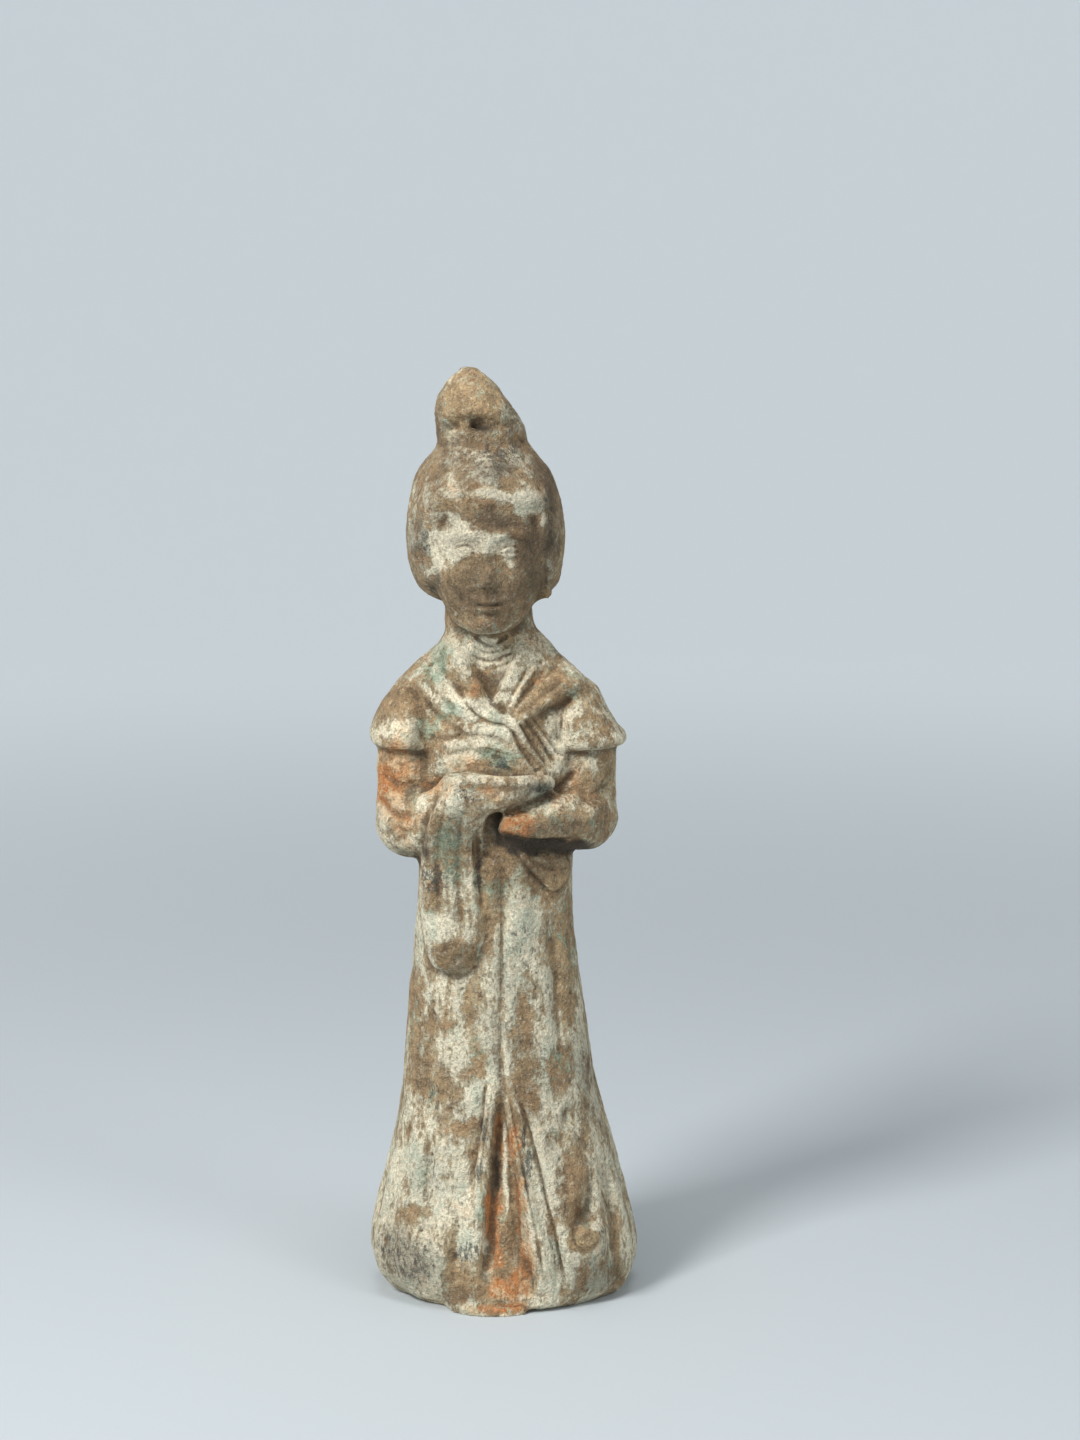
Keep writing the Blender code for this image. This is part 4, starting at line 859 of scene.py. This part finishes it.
class Finish:
    """A material that is put together node by node. A mix node's sockets share their names, so
    those are given by number."""

    def __init__(self, name):
        self.material = bpy.data.materials.new(name)
        self.material.use_nodes = True
        self.tree = self.material.node_tree
        self.shader = self.tree.nodes["Principled BSDF"]
        self.places = self.node("ShaderNodeTexCoord").outputs["Object"]

    def node(self, kind, inputs=None, **settings):
        made = self.tree.nodes.new(kind)
        for setting, value in settings.items():
            setattr(made, setting, value)
        for socket, value in (inputs or {}).items():
            self.feed(made.inputs[socket], value)
        return made

    def feed(self, socket, value):
        if isinstance(value, bpy.types.NodeSocket):
            self.tree.links.new(value, socket)
        else:
            socket.default_value = value

    def read(self, name):
        """A value kept on the skin."""
        return self.node("ShaderNodeAttribute", attribute_name=name).outputs["Fac"]

    def pattern(self, name):
        """A noise listed in PATTERNS, spread over 0 to 1."""
        scale, detail, roughness, stretch, distortion, shift = PATTERNS[name]
        squeeze = self.node(
            "ShaderNodeMapping",
            {"Vector": self.places, "Scale": (1, 1, 1 / stretch), "Location": (shift, shift, shift)},
        )
        inputs = {
            "Vector": squeeze.outputs[0],
            "Scale": scale,
            "Detail": detail,
            "Roughness": roughness,
            "Distortion": distortion,
        }
        made = self.node("ShaderNodeTexNoise", inputs)
        return self.span(made.outputs[0], *NOISE_SPAN)

    def span(self, value, low, high, start=0.0, end=1.0, kind="LINEAR"):
        """A value from low to high made one from start to end, and held there."""
        inputs = {"Value": value, "From Min": low, "From Max": high, "To Min": start, "To Max": end}
        return self.node("ShaderNodeMapRange", inputs, interpolation_type=kind, clamp=True).outputs[0]

    def band(self, name, value):
        """A value made what BANDS says."""
        return self.span(value, *BANDS[name])

    def maths(self, operation, *values):
        return self.node("ShaderNodeMath", dict(enumerate(values)), operation=operation).outputs[0]

    def times(self, a, b):
        return self.maths("MULTIPLY", a, b)

    def plus(self, value, share, other):
        """A value and a share of another."""
        return self.maths("MULTIPLY_ADD", other, share, value)

    def mix(self, share, a, b):
        """Colour a where the share is 0, and b where it is 1."""
        return self.node("ShaderNodeMix", {0: share, 6: a, 7: b}, data_type="RGBA").outputs[2]

    def blend(self, share, a, b):
        """Value a where the share is 0, and b where it is 1."""
        return self.node("ShaderNodeMix", {0: share, 2: a, 3: b}, data_type="FLOAT").outputs[0]

    def survives(self, cover, pattern, softness):
        """Where a layer of this cover is left, broken up by the pattern."""
        left = self.maths("ADD", cover, pattern)
        return self.span(left, 1 - softness, 1 + softness, kind="SMOOTHSTEP")


def wear_pattern(finish):
    """Worn edges from a few millimetres down to the grit, streaked on the skirt."""
    kinds = []
    for kind in ("wear", "streaks"):
        coarse, middle, small = (finish.pattern(f"{size} {kind}") for size in ("coarse", "middle", "small"))
        edges = finish.blend(SMALL_WEAR, finish.blend(MIDDLE_WEAR, coarse, middle), small)
        kinds.append(finish.band("wear", edges))
    return finish.blend(finish.read("streak"), *kinds)


def bare_clay(finish, tints, fine):
    """Mottled clay with darker clouds and pale grains."""
    clay = finish.mix(finish.pattern("clay"), tints["clay"], tints["pale_clay"])
    clay = finish.mix(finish.band("darker clay", finish.pattern("darker clay")), clay, tints["dark_clay_and_shade"])
    return finish.mix(finish.band("pale grains", fine), clay, tints["pale_clay"])


def slipped(finish, tints, clay, worn, fine, flecks):
    """Clay under a thin and a thick coat of slip, and where each coat is left."""
    hollow = finish.read("hollow")
    cover = finish.plus(finish.read("slip"), RIDGE_SLIP, finish.band("on a ridge", hollow))
    cover = finish.plus(cover, HOLLOW_SLIP, finish.band("in a hollow", hollow))
    cover = finish.plus(cover, GROOVE_SLIP, finish.read("groove"))
    coats = []
    for more, softness in (THIN_COAT, THICK_COAT):
        coats.append(finish.survives(finish.maths("ADD", cover, more), worn, softness))
    thin, thick = coats
    greyed = finish.pattern("greyed slip")
    thin_tint = finish.mix(greyed, tints["thin_slip"], tints["grey_slip"])
    base = finish.mix(finish.times(thin, finish.band("wash", flecks)), clay, thin_tint)
    thick_tint = finish.mix(finish.band("greyed slip", greyed), tints["slip"], tints["grey_slip"])
    return finish.mix(finish.times(thick, finish.band("crust", fine)), base, thick_tint), thin, thick


def pigmented(finish, tints, base, coats, worn, flecks):
    """Orange and green left over the slip."""
    for (layer, share, softness, pale, over_slip), coat in zip(PIGMENTS, coats):
        rubbed = finish.band("pigment", finish.blend(share, worn, finish.pattern(layer)))
        left = finish.survives(finish.read(layer), rubbed, softness)
        tint = finish.mix(finish.times(coat, over_slip), tints[layer], tints[pale])
        base = finish.mix(finish.times(left, finish.band(f"{layer} left", flecks)), base, tint)
    return base


def dirtied_and_shaded(finish, tints, base, flecks):
    """Specks, dust, soil, dirt and painted shade in crevices and hollows, and soot that also paints shadow.
    """
    for name, tint in (("brown specks", "dark_clay_and_shade"), ("dust", "slip")):
        base = finish.mix(finish.band(name, finish.pattern(name)), base, tints[tint])
    in_groove = finish.band("in a groove", finish.read("groove"))
    round_specks = finish.pattern("round specks")
    specks = finish.blend(finish.read("streak"), round_specks, finish.pattern("long specks"))
    soiled = finish.plus(finish.read("soil"), GROOVE_SOIL, in_groove)
    soil = finish.survives(finish.times(soiled, SOIL_LEFT), specks, SOIL_SOFTNESS)
    base = finish.mix(finish.times(soil, SOIL_TINT), base, tints["soil"])
    # Hollows and grooves darkened towards the dark clay: partly dirt, partly painted shade
    in_hollow = finish.band("in a hollow", finish.read("hollow"))
    deep = finish.maths("MAXIMUM", in_hollow, finish.times(in_groove, GROOVE_DIRT_AND_SHADE))
    base = finish.mix(finish.times(deep, finish.band("crevice dirt and shade", flecks)), base, tints["dark_clay_and_shade"])
    soot_and_shadow_cover = finish.read("soot")
    stains = finish.band("stains", finish.pattern("stains"))
    # Full cover closes the stains' gaps, so the dabs that paint the shadow under the forearm come out solid
    soot = finish.times(soot_and_shadow_cover, finish.blend(soot_and_shadow_cover, stains, 1.0))
    return finish.mix(finish.band("soot", soot), base, tints["soot"])


def terracotta(colours, sizes):
    """Fired clay under worn slip, pigments, soil, stains and painted shade."""
    finish = Finish("painted_terracotta")
    tints = {name: tuple(getattr(colours, name)) for name in FigureColours.__annotations__}
    worn = wear_pattern(finish)
    grains = {name: finish.pattern(name) for name in ("fine grain", "flecks", "grain")}
    fine, flecks = grains["fine grain"], grains["flecks"]
    clay = bare_clay(finish, tints, fine)
    base, thin, thick = slipped(finish, tints, clay, worn, fine, flecks)
    base = pigmented(finish, tints, base, (thin, thick), worn, flecks)
    base = dirtied_and_shaded(finish, tints, base, flecks)
    grainy = finish.band("grainy", finish.blend(MIDWAY, fine, grains["grain"]))
    tone = finish.times(finish.band("tone", finish.pattern("tone")), grainy)
    toned = finish.node("ShaderNodeVectorMath", {0: base, "Scale": tone}, operation="SCALE")
    finish.feed(finish.shader.inputs["Base Color"], toned.outputs[0])
    finish.feed(finish.shader.inputs["Roughness"], finish.band("roughness", thin))
    finish.shader.inputs["Specular IOR Level"].default_value = SHEEN
    grains["pores"] = finish.band("pores", finish.pattern("pores"))
    relief = finish.times(finish.blend(MIDWAY, thin, thick), sizes.slip)
    for name, times in GRAIN_RELIEF:
        relief = finish.plus(relief, times * sizes.grit, grains[name])
    bump = finish.node("ShaderNodeBump", {"Strength": 1.0, "Distance": 1.0, "Height": relief})
    finish.feed(finish.shader.inputs["Normal"], bump.outputs[0])
    return finish.material


class TOMB_OT_figure(bpy.types.Operator):
    """Models the figure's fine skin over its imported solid, and paints it"""

    bl_idname = "tomb_figure.model_figure"
    bl_label = "Model the figure"

    def execute(self, context):
        sizes = context.scene.figure_sizes
        figure = fine_skin(sizes)
        carve(figure, sizes)
        paint(figure)
        figure.vertex_groups.clear()
        figure.data.materials.clear()
        figure.data.materials.append(terracotta(context.scene.figure_colours, sizes))
        figure.data.shade_smooth()
        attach(figure, "root")
        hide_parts(CAD_NODE)
        return {"FINISHED"}


def soft_light(name, place, target, size, power):
    """A square soft light at a place, turned to its target."""
    bpy.ops.object.light_add(type="AREA", location=place)
    lamp = bpy.context.object
    lamp.name = name
    lamp.data.shape = "SQUARE"
    lamp.data.size = size
    lamp.data.energy = power
    lamp.rotation_euler = (target - Vector(place)).to_track_quat("-Z", "Y").to_euler()
    return lamp


def backdrop(tint, glow):
    """A round floor that turns up into a low wall, which gives off a soft light of its own."""
    bpy.ops.mesh.primitive_cylinder_add(
        vertices=SIDES, radius=FLOOR_RADIUS, depth=WALL_HEIGHT, location=(0, 0, WALL_HEIGHT / 2)
    )
    floor = bpy.context.object
    floor.name = "studio_floor"
    bpy.ops.object.transform_apply(location=True)
    bpy.ops.object.mode_set(mode="EDIT")
    bpy.ops.mesh.select_mode(type="FACE")
    bpy.ops.mesh.select_all(action="DESELECT")
    bpy.ops.object.mode_set(mode="OBJECT")
    for face in floor.data.polygons:
        face.select = face.normal.z > FACES_UP
    bpy.ops.object.mode_set(mode="EDIT")
    bpy.ops.mesh.delete(type="FACE")
    bpy.ops.mesh.select_mode(type="EDGE")
    bpy.ops.object.mode_set(mode="OBJECT")
    for edge in floor.data.edges:
        edge.select = all(floor.data.vertices[i].co.z < MERGE for i in edge.vertices)
    bpy.ops.object.mode_set(mode="EDIT")
    bpy.ops.mesh.bevel(offset=SWEEP, segments=SWEEP_STEPS)
    bpy.ops.object.mode_set(mode="OBJECT")
    floor.data.shade_smooth()
    for face in floor.data.polygons:
        face.use_smooth = abs(face.normal.z) < FLAT_FLOOR
    finish = Finish("pale_floor")
    finish.shader.inputs["Base Color"].default_value = tint
    finish.shader.inputs["Roughness"].default_value = MATT
    finish.shader.inputs["Emission Color"].default_value = tint
    away = finish.node("ShaderNodeVectorMath", {0: finish.places}, operation="LENGTH").outputs["Value"]
    light = finish.span(away, *BACKDROP_GLOW, 0, glow, "SMOOTHSTEP")
    finish.feed(finish.shader.inputs["Emission Strength"], light)
    floor.data.materials.append(finish.material)
    return floor


class TOMB_OT_stage(bpy.types.Operator):
    """Sets up the plain floor, the soft lights and the camera"""

    bl_idname = "tomb_figure.set_stage"
    bl_label = "Set the stage"

    def execute(self, context):
        studio = context.scene.tomb_studio
        bpy.ops.object.select_all(action="DESELECT")
        backdrop(studio.floor, studio.glow)
        target = Vector((0, 0, HEIGHT / 2))
        for name, place, size, share in LIGHTS:
            power = studio.key_power if share else studio.fill_power
            soft_light(name, place, target, size, power * (share or 1))
        world = context.scene.world or bpy.data.worlds.new("studio")
        context.scene.world = world
        world.use_nodes = True
        world.node_tree.nodes["Background"].inputs["Color"].default_value = studio.air
        world.node_tree.nodes["Background"].inputs["Strength"].default_value = AIR_STRENGTH
        aim = Vector(studio.aim)
        up = studio.elevation
        place = aim + studio.distance * Vector((0, -math.cos(up), math.sin(up)))
        bpy.ops.object.camera_add(location=place)
        camera = context.object
        camera.rotation_euler = (aim - place).to_track_quat("-Z", "Y").to_euler()
        camera.data.lens = camera.data.sensor_width * studio.distance / studio.picture_height
        camera.data.clip_start = CLIP_START
        context.scene.camera = camera
        context.scene.view_settings.view_transform = "Standard"
        return {"FINISHED"}


class TOMB_PT_panel(bpy.types.Panel):
    """Lists the figure's sizes and colours and its steps"""

    bl_label = "Tomb Figure"
    bl_idname = "TOMB_PT_panel"
    bl_space_type = "VIEW_3D"
    bl_region_type = "UI"
    bl_category = "Tomb Figure"

    def draw(self, context):
        for operator, settings in STEPS:
            box = self.layout.box()
            for group in settings:
                values = getattr(context.scene, group)
                for name in values.__annotations__:
                    box.prop(values, name)
            box.operator(operator)


STEPS = (
    (TOMB_OT_figure.bl_idname, ("figure_sizes", "figure_colours")),
    (TOMB_OT_stage.bl_idname, ("tomb_studio",)),
)
GROUPS = {"figure_sizes": FigureSizes, "figure_colours": FigureColours, "tomb_studio": StudioSettings}
CLASSES = (*GROUPS.values(), TOMB_OT_figure, TOMB_OT_stage, TOMB_PT_panel)


def register():
    for cls in CLASSES:
        bpy.utils.register_class(cls)
    for name, group in GROUPS.items():
        setattr(bpy.types.Scene, name, PointerProperty(type=group))


def unregister():
    for name in GROUPS:
        delattr(bpy.types.Scene, name)
    for cls in reversed(CLASSES):
        bpy.utils.unregister_class(cls)


def main():
    register()
    bpy.ops.tomb_figure.model_figure()
    bpy.ops.tomb_figure.set_stage()


if __name__ == "__main__":
    main()
